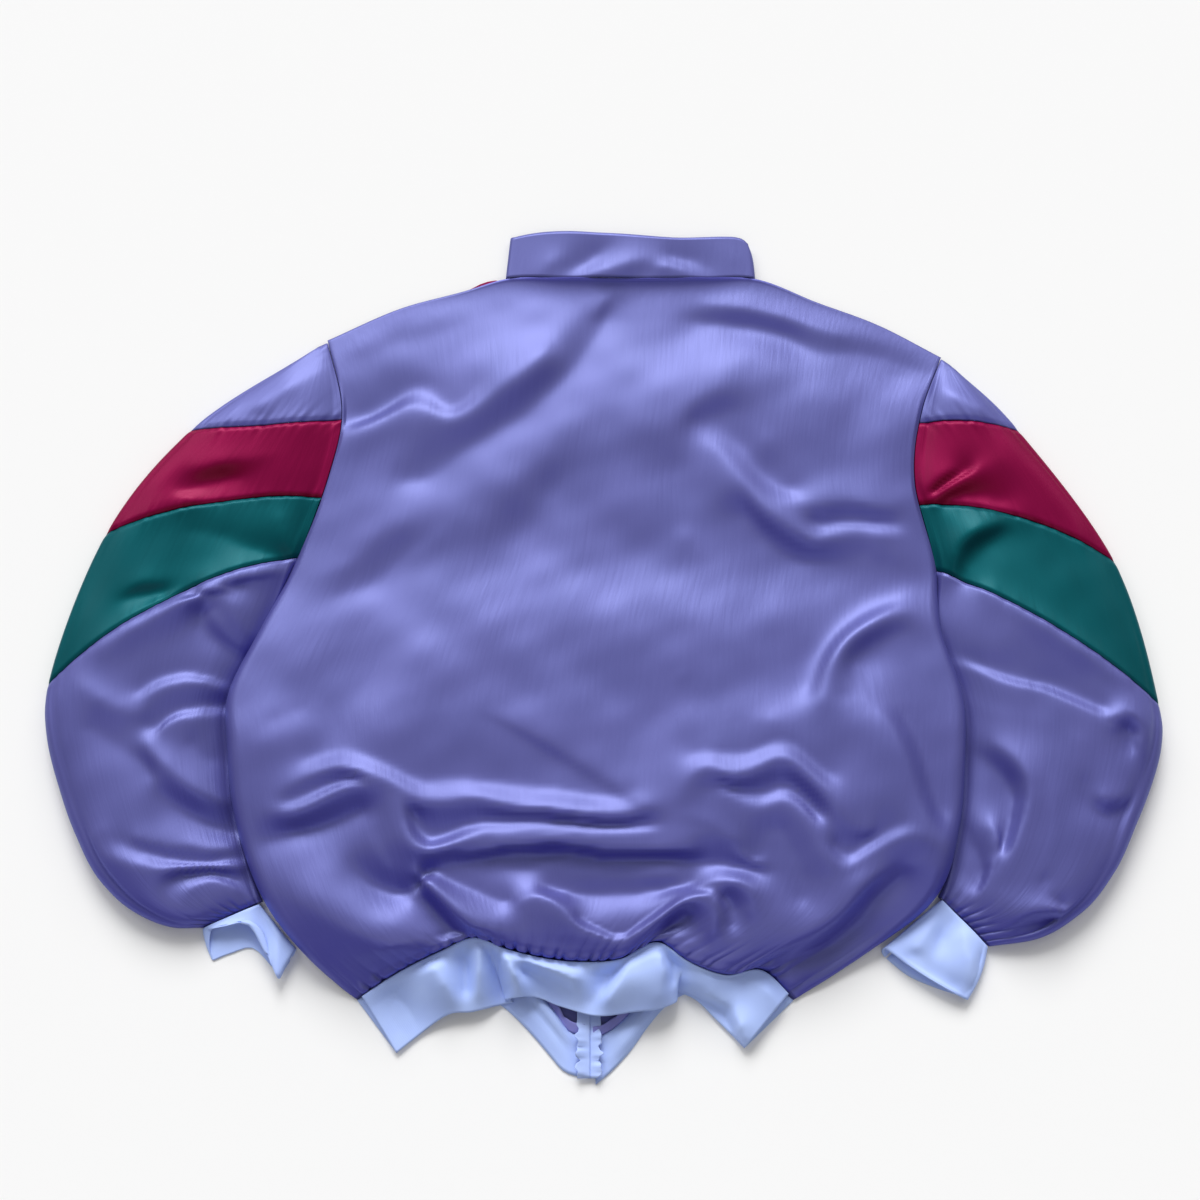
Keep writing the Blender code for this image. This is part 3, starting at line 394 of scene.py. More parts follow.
UPPER_FOLDS = FoldSet(7, 22, [
    Fold("shoulder trough", [(-238, 197), (-219, 201), (-199, 213), (-181, 228), (-168, 233), (-156, 228),
                             (-147, 216), (-135, 213), (-120, 226),
                             (-105, 238)], (-3.5, -6, -7, -6.5, -4.5, -2.5, 0)),
    Fold("shoulder ridge", [(-241, 184), (-214, 194), (-192, 203), (-178, 209), (-162, 206), (-150, 199),
                            (-138, 196), (-120, 204), (-102, 217), (-72, 240),
                            (-44, 269)], (1, 2.5, 2.5, 2.5, 2.5, 2.5, 3, 3.5, 3.5, 2.5)),
    Fold("neck hollow", [(16, 316), (-2, 293), (-16, 269), (-29, 250), (-41, 235), (-59, 216), (-72, 203),
                         (-90, 192), (-104, 182), (-125, 168), (-140, 155), (-149, 147), (-164, 142),
                         (-182, 140)], (-2.5, -5, -6, -6, -5, -4.5, -4, -4.5, -4.5, -2.5)),
    Fold("shoulder hollow", [(75, 301), (103, 296), (135, 292), (161, 286), (177, 279), (193, 269),
                             (205, 265), (225, 266), (241, 264), (254, 253), (262, 245),
                             (281, 243)], (-2.5, -4.5, -6, -6, -6, -6, -4.5, -4, -3.5, -3.5, -2.5)),
    Fold("over shoulder hollow", [(90, 318), (136, 312), (182, 300), (227, 283)], (0.5, 1.5, 1.5, 0.5)),
    Fold("curve", [(82, 179), (95, 172), (107, 162), (117, 147), (127, 134), (137, 119), (150, 104),
                   (166, 93), (181, 84), (191, 80), (210, 86), (232, 89), (254, 90),
                   (275, 89)], (1.5, 4, 5, 6, 6, 6, 6, 5, 4.5, 4, 4, 3.5)),
    Fold("over curve", [(106, 196), (129, 172), (151, 143), (177, 128)], (-1, -3, -3.5, -2.5)),
    Fold("upper branch", [(148, 120), (173, 115), (198, 113), (223, 117), (248, 112), (264, 119),
                          (277, 126)], (3.5, 3.5, 3.5, 3.5, 3.5, 3, 2.5)),
    Fold("between branches", [(185, 99), (204, 102), (223, 104), (242, 102),
                              (267, 96)], (-0.5, -1.5, -1.5, -1.5, -0.5)),
    Fold("low branch", [(228, 70), (247, 74), (262, 80), (278, 74)], (1.5, 3.5, 3.5, 2.5)),
    Fold("under curve", [(123, 115), (145, 87), (176, 66), (211, 66)], (-0.5, -2.5, -3, -1)),
])
BACK_CREASES = FoldSet(5, 18, [
    Fold("neck pleat", [(15, 324), (3, 306), (-5, 290)], (-2.5, -2, 0)),
    Fold("beside neck pleat", [(3, 324), (-6, 310), (-15, 300)], (1.5, 1, 0)),
    Fold("straight crease", [(129, 203), (146, 179), (171, 151)], (0, 1.4, 0)),
    Fold("short crease", [(66, 101), (76, 84), (87, 68), (99, 59)], (0, 2, 1.5, 0)),
    Fold("left thin crease", [(-306, -92), (-282, -82), (-265, -74), (-246, -70)], (0, -1.5, -1.5, 0)),
    Fold("press crease", [(-109, -73), (-72, -91), (-37, -111), (-2, -133),
                          (45, -164)], (0, 1, 1, 1.5)),
    Fold("under press crease", [(-116, -76), (-79, -96), (-43, -117), (-9, -139),
                                (32, -166)], (0, -1, -1, 0)),
    Fold("level crease", [(118, -87), (146, -85), (174, -86)], (0, 1.4, 0)),
    Fold("small crease", [(61, -40), (69, -45), (78, -49)], (0, 1, 0)),
    Fold("chest dash", [(-196, 139), (-178, 141), (-160, 142), (-147, 143)], (0, -2, -2, 0)),
    Fold("long crease", [(-112, 117), (-130, 103), (-144, 87), (-165, 68),
                         (-180, 51)], (0, 1.5, 2, 1.5, 0)),
    Fold("armhole pucker", [(245, 116), (260, 109), (276, 101)], (0, 1.5, 1)),
    Fold("armhole pucker low", [(250, 62), (265, 67), (277, 62)], (0, 1.5, 1)),
])
LOWER_FOLDS = FoldSet(4, 24, [
    Fold("upper waist fold", [(-289, -156), (-269, -143), (-251, -134), (-227, -128), (-209, -134),
                              (-186, -141), (-172, -148), (-160, -156), (-143, -159), (-124, -156),
                              (-100, -156), (-78, -162), (-37, -166), (-2, -172), (23, -169),
                              (41, -163), (55, -162)], (1.5, 5, 7, 7, 7, 6.5, 7, 8, 7, 4)),
    Fold("waist roll", [(-289, -159), (-273, -168), (-254, -162), (-233, -150), (-214, -143),
                        (-192, -142), (-182, -144), (-175, -153), (-172, -168), (-168, -182),
                        (-162, -193), (-152, -198), (-138, -197), (-118, -190), (-99, -184), (-78, -183),
                        (-37, -181), (-2, -184), (29, -184), (61, -183), (87, -182), (102, -186),
                        (118, -197), (124, -204),
                        (146, -219)], (3, 5, 6, 6, 6.5, 7, 6, 4, 3.5, 3.5, 4, 4, 4, 4, 2, 0)),
    Fold("in left loop", [(-276, -156), (-257, -150), (-236, -141), (-217, -137),
                          (-199, -139)], (1, 1, 1, 2)),
    Fold("before waist roll", [(-167, -158), (-162, -168), (-156, -180), (-147, -187), (-131, -182),
                               (-114, -175), (-88, -173), (-37, -174), (15, -177),
                               (49, -175)], (-1, -3, -3, -1.5, -0.5, 0, 0, 0, 0, 0.5)),
    Fold("left streak", [(-292, -189), (-268, -183), (-244, -178), (-220, -169),
                         (-201, -161)], (-4, -8, -8, -4)),
    Fold("pocket plane", [(-198, -175), (-191, -195), (-180, -213)], (0, -2, -4)),
    Fold("pocket crescent", [(-217, -196), (-211, -210), (-197, -225), (-177, -232), (-160, -230),
                             (-153, -220), (-141, -209)], (-4, -9, -13, -14.5, -11.5, -6.5)),
    Fold("flap edge", [(-160, -215), (-146, -229), (-122, -252), (-98, -272),
                       (-80, -286)], (2, 6, 7, 6, 3)),
    Fold("under flap", [(-166, -225), (-152, -240), (-130, -262), (-109, -277)], (-9, -10.5, -9, -5)),
    Fold("flap plane", [(-139, -218), (-109, -229), (-77, -242)], (-6, -7.5, -5)),
    Fold("left hem swell", [(-268, -236), (-240, -254), (-205, -272), (-170, -283),
                            (-142, -286)], (1, 4, 6, 6, 3)),
    Fold("waist trough", [(-139, -206), (-111, -206), (-78, -200), (-37, -198), (-2, -204), (45, -206),
                          (92, -208), (124, -213), (148, -217)], (-5, -7, -7, -7, -7, -6.5, -4.5)),
    Fold("lower plane", [(-54, -227), (-2, -234), (49, -229), (83, -223)], (-9, -12, -11, -6)),
    Fold("lower roll", [(-75, -249), (-65, -240), (-47, -240), (-34, -251), (-21, -264), (-2, -272),
                        (14, -280), (29, -269), (48, -256), (66, -243), (86, -238), (96, -244),
                        (95, -257), (89, -272)], (1, 4, 5, 4, 2.5, 2.5, 3.5, 5.5, 6.5, 6.5, 5, 4)),
    Fold("over lower roll", [(-24, -252), (-2, -261), (14, -267), (31, -257), (50, -244),
                             (69, -232)], (-5, -4, -3.5, -3, -2, 0)),
    Fold("hem hook", [(76, -232), (102, -225), (120, -229), (127, -241),
                      (123, -254)], (-1.5, 2.5, 4, 4, 1.5)),
    Fold("in hem hook", [(101, -236), (110, -246), (108, -263)], (-2.5, -5, -4)),
    Fold("hem pocket", [(48, -272), (59, -259), (74, -251)], (-5, -8, -4)),
    Fold("right loop", [(49, -162), (67, -153), (74, -140), (87, -129), (97, -131), (109, -136),
                        (125, -133), (139, -126), (152, -120), (164, -125), (180, -140), (195, -157),
                        (204, -170), (220, -180), (242, -183)], (3.5, 6, 8, 9, 9, 9, 9, 8.5, 7, 3.5, 1)),
    Fold("in right loop", [(97, -140), (118, -148), (140, -148), (157, -141), (172, -152),
                           (188, -172)], (2, 1.5, 0.5, 0, -1.5, -1)),
    Fold("right hook", [(84, -144), (103, -149), (125, -161), (140, -162), (153, -157), (166, -161),
                        (175, -172), (183, -188), (191, -204), (200, -216), (209, -216), (225, -204),
                        (245, -193), (261, -188), (277, -189),
                        (286, -197)], (3, 4, 4, 4, 5, 6, 6, 5, 4, 3.5, 4, 5, 5, 3)),
    Fold("plateau edge", [(55, -163), (77, -168), (96, -179), (109, -189),
                          (118, -200)], (4, 5, 5, 4, 1.5)),
    Fold("plateau valley", [(105, -189), (122, -200), (127, -205), (133, -198),
                            (140, -178)], (1, -1, -3, -2, 0)),
    Fold("right lower roll", [(141, -288), (173, -272), (200, -251), (223, -225),
                              (248, -206)], (1, 5, 6, 6, 2)),
    Fold("under right roll", [(158, -294), (185, -280), (214, -257), (236, -234),
                              (260, -215)], (-7, -11, -11, -9, -4)),
    Fold("behind upper fold", [(-262, -120), (-241, -111), (-219, -108), (-200, -115), (-180, -124),
                               (-158, -135), (-124, -134), (-78, -139), (-37, -144), (-2, -149),
                               (32, -147)], (0, 0, 0, 0, 0, -0.5, -0.5, -0.5, -0.5, 0, 0)),
    Fold("behind right loop", [(75, -118), (88, -108), (109, -114), (126, -111), (139, -105),
                               (152, -99), (167, -105), (183, -120),
                               (200, -138)], (1, 1.5, 1.5, 1.5, 1.5, 1.5, 1, 0.5, 0)),
    Fold("below waist roll", [(-131, -204), (-105, -198), (-78, -194), (-37, -192), (-2, -196),
                              (45, -197), (83, -198)], (0, 3, 4, 4, 4, 4, 2)),
    Fold("second plane", [(-130, -215), (-88, -213), (-37, -213), (15, -217),
                          (66, -219)], (-6, -9, -9, -9, -6)),
    Fold("inside hook", [(147, -176), (155, -191), (165, -213), (169, -242)], (-1, -2, -2.5, -2)),
    Fold("over right hook", [(196, -190), (208, -200), (225, -190), (246, -177),
                             (259, -174)], (-1, -1.5, -1.5, -0.5, 0)),
    Fold("rim of right roll", [(258, -210), (276, -205), (284, -215), (282, -230)], (1, 3, 3, 1)),
])
SLEEVE_CREASES = {
    -1: FoldSet(4, 20, [
        Fold("cap swell", [(-258, 250), (-286, 230), (-318, 208)], (2.5, 6, 5)),
        Fold("seam swell", [(-285, 58), (-330, 42), (-376, 20), (-420, -5), (-452, -26)], (3, 8, 9, 8, 3)),
        Fold("outer ridge", [(-466, -42), (-452, -55), (-434, -68), (-416, -75),
                             (-406, -78)], (2, 4, 5, 4, 2)),
        Fold("arc trough", [(-410, -59), (-394, -45), (-370, -38), (-346, -41),
                            (-329, -46)], (-1, -2.5, -3, -3, -2)),
        Fold("arc", [(-405, -79), (-397, -63), (-380, -53), (-356, -49), (-333, -53)], (2, 2, 2, 2, 2)),
        Fold("inner trough", [(-402, -85), (-388, -88), (-380, -79), (-366, -71), (-345, -67),
                              (-330, -65)], (-2, -2, -2.5, -3, -3, -2.5)),
        Fold("inner ridge", [(-388, -94), (-381, -87), (-371, -83), (-348, -79),
                             (-328, -73)], (2, 2.5, 2.5, 2.5, 2)),
        Fold("elbow ridge", [(-400, -99), (-391, -111), (-381, -121), (-369, -132), (-352, -144),
                             (-337, -150), (-321, -153)], (2, 4, 5.5, 6, 6, 5.5, 4)),
        Fold("over elbow ridge", [(-361, -101), (-339, -117)], (-0.5, -1)),
        Fold("elbow trough", [(-385, -145), (-371, -157), (-357, -165), (-340, -173),
                              (-319, -179)], (-2, -4, -5.5, -6, -5)),
        Fold("outer trough", [(-453, -88), (-428, -102), (-403, -118), (-389, -135)], (-1, -2, -2.5, -2)),
        Fold("loop", [(-420, -179), (-433, -182), (-437, -189), (-430, -200), (-408, -209), (-381, -213),
                      (-355, -212), (-331, -209), (-306, -208)], (2, 3.5, 4, 4, 4.5, 4.5, 4.5, 4, 3)),
        Fold("in loop", [(-418, -187), (-399, -194), (-372, -202), (-348, -206), (-325, -204),
                         (-308, -200)], (-0.5, -1, -1, -1, -1, -0.5)),
        Fold("loop top", [(-406, -185), (-383, -191), (-356, -194), (-332, -195),
                          (-312, -189)], (1, 1.5, 2, 2, 1)),
        Fold("cuff arc", [(-372, -230), (-367, -221), (-353, -215), (-334, -215), (-314, -221),
                          (-298, -231)], (-1, -2.5, -3, -3, -2.5, -1.5)),
        Fold("cuff fold", [(-355, -243), (-352, -231), (-340, -224), (-327, -224),
                           (-312, -232)], (1, 2, 2, 2, 1)),
        Fold("underarm arc", [(-374, 30), (-361, 30), (-343, 30), (-329, 23), (-321, 6),
                              (-312, -8)], (2, 4, 4.5, 5, 4, 3)),
        Fold("underarm trough", [(-357, 19), (-355, 4), (-345, -8), (-331, -17),
                                 (-316, -24)], (-2, -4, -4.5, -4.5, -3)),
        Fold("underarm fold", [(-348, 21), (-342, 10), (-332, -1), (-315, -15)], (1, 1.5, 1, 1)),
        Fold("teal streak", [(-432, 33), (-413, 42), (-385, 46)], (1, 3, 1)),
        Fold("under teal streak", [(-424, 29), (-406, 33), (-385, 35)], (-1, -2, -1)),
        Fold("teal hollow", [(-372, 93), (-342, 89), (-313, 78), (-283, 69)], (-1.5, -4, -4, -1.5)),
        Fold("teal crest", [(-290, 107), (-284, 89), (-272, 65)], (2, 3, 3, 2)),
        Fold("teal low light", [(-341, 38), (-319, 43), (-292, 47)], (2, 3, 3, 2)),
        Fold("magenta crest", [(-373, 149), (-346, 156), (-317, 160), (-287, 167)], (1.5, 4, 4, 1.5)),
        Fold("magenta hollow", [(-381, 130), (-354, 138), (-326, 143)], (-1.5, -4, -4, -1.5)),
        Fold("magenta low light", [(-416, 107), (-394, 117), (-367, 120)], (1.5, 2, 2, 1.5)),
        Fold("cap light", [(-339, 192), (-309, 198), (-270, 190)], (2, 3, 3, 2)),
    ]),
    1: FoldSet(4, 20, [
        Fold("cap swell", [(298, 237), (320, 221), (346, 205)], (2.5, 5.5, 4.5)),
        Fold("long ridge", [(300, -27), (313, -31), (331, -40), (345, -48), (363, -54), (385, -59),
                            (406, -69), (424, -78), (438, -86), (450, -89),
                            (462, -91)], (1, 1.5, 2, 2, 2, 2, 2, 2, 2.5, 2.5, 2)),
        Fold("over long ridge", [(315, -20), (335, -30), (367, -43), (389, -48), (410, -58), (429, -67),
                                 (442, -74)], (-1, -2, -2.5, -2.5, -2.5, -2.5, -1)),
        Fold("seam swell", [(332, 38), (380, 7), (427, -26), (463, -52)], (3, 8, 8.5, 4)),
        Fold("below long ridge", [(320, -60), (352, -78), (390, -86), (420, -104)], (1, 2, 2, 1.5)),
        Fold("outer hook", [(438, -85), (450, -79), (461, -77), (469, -82), (470, -95), (467, -110),
                            (471, -120)], (3, 5, 6, 6, 5, 3, 1)),
        Fold("in outer hook", [(447, -93), (456, -90), (460, -99), (457, -113)], (-0.5, -2.5, -3, -1.5)),
        Fold("outer curve", [(417, -133), (419, -156), (433, -166), (452, -159),
                             (465, -148)], (-2, -3.5, -4, -3.5, -2)),
        Fold("outer light", [(429, -151), (441, -153), (455, -145)], (1.5, 2.5, 1.5)),
        Fold("upright fold", [(338, -101), (352, -111), (364, -126), (369, -141), (366, -163),
                              (358, -184), (349, -207), (339, -232)], (2, 5, 7, 7, 6.5, 5.5, 4, 1.5)),
        Fold("beside upright fold", [(325, -107), (339, -122), (351, -138), (353, -155), (347, -181),
                                     (336, -205)], (-1.5, -4, -5, -4.5, -3.5, -1.5)),
        Fold("right of upright fold", [(382, -131), (388, -160), (381, -195), (369, -224)],
             (4, 4.5, 3.5, 2)),
        Fold("lower valley", [(313, -171), (320, -192), (326, -214), (318, -232)], (-2.5, -4.5, -4.5, -2.5)),
        Fold("lower light", [(333, -171), (340, -192), (333, -217), (321, -238)], (1.5, 2.5, 2.5, 1)),
        Fold("lower ridge", [(338, -264), (353, -253), (371, -247), (389, -249), (403, -249),
                             (417, -243)], (2, 5, 6, 6, 5, 2)),
        Fold("under lower ridge", [(349, -267), (370, -259), (395, -256)], (-3, -5, -4)),
        Fold("small crease", [(376, -219), (382, -232), (394, -244)], (0, 1.5, 0)),
        Fold("teal fold", [(360, 101), (335, 90), (320, 79), (313, 64), (304, 43)], (2, 6.5, 6.5, 2)),
        Fold("teal dip", [(370, 92), (347, 83), (332, 72), (326, 59), (320, 40)], (-1.5, -4, -4, -1.5)),
        Fold("magenta crest", [(287, 121), (304, 140), (321, 151)], (1.5, 4, 4, 1.5)),
        Fold("magenta crest long", [(288, 118), (312, 133), (337, 146), (362, 159)], (1.5, 4, 4, 1.5)),
        Fold("magenta hollow", [(295, 127), (313, 139), (334, 152)], (-1.5, -1.5, -1.5, -1.5)),
        Fold("magenta low hollow", [(304, 118), (331, 126), (367, 122)], (-2, -3, -3, -2)),
    ]),
}
BAND_CREASES = FoldSet(4, 16, [
    Fold("left patch", [(-156, -286), (-142, -298), (-133, -313), (-128, -325)], (4, 10, 10, 6)),
    Fold("left tip hollow", [(-185, -309), (-172, -326), (-162, -342)], (-4, -8, -4)),
    Fold("left crease", [(-121, -271), (-118, -292), (-116, -317)], (-6, -8, -4)),
    Fold("left ridge", [(-105, -275), (-104, -296), (-106, -321)], (4, 6, 4)),
    Fold("behind panel", [(-95, -275), (-89, -296), (-82, -320)], (-6, -10, -6)),
    Fold("panel edge", [(-84, -282), (-77, -298), (-69, -319)], (8, 12, 8)),
    Fold("upper crease ridge", [(-69, -286), (-47, -295), (-20, -306)], (4, 8, 4)),
    Fold("upper crease", [(-71, -295), (-49, -305), (-26, -316)], (-6, -10, -6)),
    Fold("right crease", [(16, -288), (0, -309), (-13, -326)], (-6, -10, -6)),
    Fold("right crease ridge", [(32, -279), (18, -303), (3, -326)], (4, 8, 6)),
    Fold("right roll", [(44, -274), (50, -296), (48, -323)], (6, 10, 10)),
    Fold("beside right roll", [(52, -275), (59, -290), (59, -309)], (-6, -8, -4)),
    Fold("long crease ridge", [(69, -309), (88, -316), (109, -326)], (2, 6, 4)),
    Fold("long crease", [(66, -316), (84, -324), (103, -333)], (-4, -6, -4)),
    Fold("corner edge", [(113, -328), (117, -345), (121, -356)], (6, 10, 6)),
    Fold("beside corner", [(101, -331), (107, -350), (114, -360)], (-4, -6, -4)),
    Fold("right end light", [(134, -300), (142, -313), (143, -330)], (2, 6, 4)),
])
CUFF_CREASES = {
    -1: FoldSet(3, 12, [
        Fold("inner light", [(-288, -242), (-278, -262), (-275, -290)], (2, 4, 2)),
        Fold("inner crease", [(-298, -242), (-291, -259), (-284, -284)], (-2, -3, -2)),
    ]),
    1: FoldSet(3, 12, [
        Fold("tuck", [(299, -253), (291, -267), (284, -284)], (-2, -4, -3)),
        Fold("beside tuck", [(284, -253), (274, -266), (266, -278)], (2, 2, 0)),
        Fold("middle ridge", [(308, -264), (311, -284), (315, -308)], (4, 5, 2)),
        Fold("outer dip", [(327, -284), (329, -296), (327, -310)], (-3, -5, -3)),
        Fold("fall to the hem", [(262, -280), (282, -296), (302, -310)], (-3, -4, -3)),
    ]),
}
COLLAR_CREASES = FoldSet(4, 16, [
    Fold("left facet", [(-64, 339), (-57, 349), (-49, 357), (-40, 365)], (2, 4, 4, 1.5)),
    Fold("left hollow", [(-34, 349), (-17, 359), (-4, 369), (6, 377)], (-1, -3, -3, -1)),
    Fold("middle facet", [(-25, 340), (10, 349), (31, 357), (46, 359)], (1, 4, 4, 2)),
    Fold("seam bump", [(40, 345), (55, 351), (72, 347), (91, 339)], (1, 3.5, 3, 1)),
    Fold("right hollow", [(61, 365), (84, 361), (102, 351)], (-1, -2.5, -1)),
    Fold("right crease", [(114, 373), (125, 361), (132, 345)], (1, 2.5, 1)),
])
# Steps between two points of a fold's line, and the share of it over which the fold fades at each end
FOLD_STEPS = 8
FOLD_TAPER = 0.2
# Raster on which the cloth is relaxed between its fold lines
CELL = 3.0
LINE_STEP = 1.5
LINE_HOLD = 40.0
RELAX_TURNS = 400
# Shares of a panel's length over which its folds rise from a seam
TOP_FREE = 0.05
HEM_FREE = 0.05
CUFF_FREE = 0.05
BAND_FREE = 0.25

# Ripples: shortest and longest wave, how many, and height for each millimetre of wave length
RIPPLE_LENGTHS = (30, 120)
RIPPLE_COUNT = 18
RIPPLE_SLOPE = 0.0021

# Gathers of the satin into the knit: how many, how uneven, height of their ridges and share of the panel
# those reach, bulge over the seam and where it is, depth, half width (share of a gather) and length of
# their creases
GATHERS = 36
CUFF_GATHERS = 7
CUFF_GATHER_REACH = 0.03
GATHER_UNEVEN = 0.32
RIDGE_HEIGHTS = (0.45, 1.0)
RIDGE_FULLNESS = 0.7
RIDGE_LEVEL = 0.6
GATHER_HEIGHT = 1.6
GATHER_REACH = 0.07
GATHER_BULGE = 2.6
BULGE_AT = 0.008
CREASE_DEPTH = 3.6
CUFF_CREASE_DEPTH = 1.6
CREASE_WIDTH = 0.15
CREASE_LENGTH = 0.028
CREASE_DEPTHS = (0.2, 1.0)
CREASE_LENGTHS = (0.4, 1.0)

# Rows of the back: closer together where the cloth is folded
Spread = namedtuple("Spread", "own down")
BACK_SPREAD = [
    Spread(0.00, 0.00),
    Spread(0.08, 0.035),
    Spread(0.40, 0.46),
    Spread(0.92, 0.965),
    Spread(1.00, 1.00),
]

# Share of a sleeve panel's rows that crowds to its two seams, and half the gap there, by the sleeve's length
END_ROWS = 0.6
PANEL_GAP = 0.0006

# Columns and rows of the grids
ROLL_COLUMNS = 12
BACK_COLUMNS = 180
BACK_ROWS = 190
BACK_FINE_FROM = 0.85
BACK_BAND_GRID = (240, 30)
YOKE_GRID = (40, 16)
FRONT_GRID = (40, 60)
FRONT_BAND_GRID = (40, 10)
UNDER_COLUMNS = 12
TUBE_ROLL_COLUMNS = 12
UPPER_COLUMNS = 60
TUBE_COLUMNS = UNDER_COLUMNS + 2 * TUBE_ROLL_COLUMNS + UPPER_COLUMNS
CUFF_ROWS = 24
COLLAR_FRONT_COLUMNS = 16
COLLAR_BACK_COLUMNS = 72
COLLAR_COLUMNS = 2 * COLLAR_FRONT_COLUMNS + 2 * ROLL_COLUMNS + COLLAR_BACK_COLUMNS
COLLAR_ROWS = 16
TAPE_GRID = (8, 240)
ALLOWANCE_GRID = (120, 6)

# Sewn edges: how far the cloth dips into the seam and over what length, and the waves that pucker it
SEAM_DIP = 1.6
SEAM_DIP_REACH = 2.6
PUCKER_LENGTHS = (23, 14, 9.5, 7)
PUCKER_SHARES = (0.5, 1)
PUCKER_SCALE = 2.5
PUCKER_HEIGHT = 0.9
PUCKER_REACH = 9.0

# Seeds of the random draws of each piece, and the phase of a wave, drawn from about a full turn
BACK_GATHER_SEED = 3
CUFF_GATHER_SEED = 5
BACK_RIPPLE_SEED = 7
SLEEVE_RIPPLE_SEED = 9
PUCKER_SEED = 11
TAPE_SIDE_SEED = 21
TAPE_LIFT_SEED = 23
ALLOWANCE_SEED = 31
ANY_PHASE = 6.3

# Zip: the tapes lie over the coil, on the inside, and are loose below the waist seam, where they lift and
# frill; the left one laps over the right one
TAPE_WIDTH = 10
TAPE_START = {-1: -1.2, 1: 0.4}
TAPE_LAP = 1.0
TAPE_TOP = 2.6
TAPE_STEP_START = 40
TAPE_STEP = 30
TAPE_LOOSE_AT = -336
TAPE_LOOSE_RUN = 14
TAPE_FRILL = 3.0
TAPE_LIFT = 1.2
FRILL_LENGTHS = (13.0, 8.5)
TOOTH_PITCH = 2.0
TOOTH_SIZE = (2.6, 1.2, 1.3)
TOOTH_HEIGHT = 1.1
SLIDER_SIZE = (6, 11, 4)
SLIDER_TAPER = 0.7
SLIDER_ROUNDING = 0.3
# Overlocked allowance of the front waist seam, seen inside the band: start on the front, width, height
ALLOWANCE_START = 0.60
ALLOWANCE_WIDTH = 8.5
ALLOWANCE_HEIGHT = 2.4
ALLOWANCE_FRILL = 1.4
ALLOWANCE_UNEVEN = 0.15

# Cut of what shows of each piece, all round on a tube: width and depth in metres
CUTS = {
    "back": (0.68, 0.70),
    "waistband_back": (0.36, 0.056),
    "front_yoke": (0.29, 0.13),
    "front": (0.31, 0.45),
    "waistband_front": (0.20, 0.05),
    "collar": (0.46, 0.045),
    "cuff": (0.12, 0.052),
    "zip_tape": (0.010, 0.72),
    "allowance": (0.095, 0.010),
}
# Panels of a sleeve: start and end by the sleeve's length, rows of the grid, slot, and cut as above
SleevePanel = namedtuple("SleevePanel", "name start end rows slot cut")
SLEEVE_PANELS = [
    SleevePanel("cap", 0, 0.20, 24, "lilac_satin", (0.12, 0.08)),
    SleevePanel("band_magenta", 0.20, 0.38, 34, "magenta_satin", (0.26, 0.10)),
    SleevePanel("band_teal", 0.38, 0.56, 40, "teal_satin", (0.32, 0.11)),
    SleevePanel("lower", 0.56, 1, 130, "lilac_satin", (0.35, 0.27)),
]

# Satins: colour of their deep and pale patches, painted shade for slopes turned away from the window,
# and colour of their highlights, and how strong those are
Satin = namedtuple("Satin", "slot material deep pale shaded shine gloss")
SATINS = [
    Satin("lilac_satin", "lilac_polyester_satin", "#534f95", "#5b579e", "#4c44aa", "#d4f0ff", 1.0),
    Satin("magenta_satin", "magenta_polyester_satin", "#740639", "#7f0940", "#700029", "#ff60a0", 0.2),
    Satin("teal_satin", "teal_polyester_satin", "#064950", "#085158", "#00424c", "#60f0ff", 0.2),
]
# Knits, thread and tape: colour of their deep and pale patches
Knit = namedtuple("Knit", "look slot material deep pale")
KNITS = [
    Knit("blue_knit", "blue_knit", "pale_blue_polyester_knit", "#a9bffa", "#b3c9ff"),
    Knit("overlock", "lilac_satin", "lilac_overlock_thread", "#7f7fc8", "#9394dc"),
    Knit("zip_nylon", "zip_nylon", "pale_blue_nylon", "#a3b9f2", "#b2c6fa"),
]
# Share of light that the smooth face of the satin's floats mirrors
COAT = 0.08
# Painted shade: slopes of the cloth take the shade colour as the sine of their tilt towards the waist
# goes from here to there
PAINTED_SHADE_FROM = 0.12
PAINTED_SHADE_TO = 0.55
# A wave node's bands repeat every 2 pi / 20 of its scaled coordinate
WAVE_PERIOD = 0.314

# Light: a wide window beyond the collar as three suns, and a weak fill from the camera's side. Where each
# comes from, its power, and the width in degrees that each has as seen from the jacket.
Sun = namedtuple("Sun", "x y z power")
SUNS = [
    Sun(-2.4, 2.6, 2.3, 0.75),
    Sun(-0.3, 3.4, 2.3, 2.9),
    Sun(2.2, 2.7, 2.3, 0.4),
    Sun(0.3, -2.0, 3.0, 0.25),
]
SUN_WIDTH = 30
ROOM_LIGHT = 0.3
# Floor, in metres from its middle to its edge
FLOOR_REACH = 4
# Camera: what it looks at, degrees above the floor, distance, and its lens
CAMERA_AIM = (-2.5, 33, 0)
CAMERA_ELEVATION = 75
CAMERA_AWAY = 1800
LENS = 60
SENSOR = 36


# Curves and folds

def ease(share):
    """Smooth step from 0 to 1."""
    share = np.clip(share, 0, 1)
    return share * share * (3 - 2 * share)


def round_off(share):
    """Quarter-circle rise from 0 to 1."""
    return np.sqrt(np.clip(1 - (1 - np.clip(share, 0, 1)) ** 2, 0, 1))


def bell(share):
    """1 at 0, falling to 0 at a share of 1."""
    return 0.5 + 0.5 * np.cos(np.pi * np.clip(np.abs(share), 0, 1))


def crown(share):
    """Flat-topped rise from 0 at both ends to 1 in the middle."""
    return 1 - (2 * share - 1) ** 4


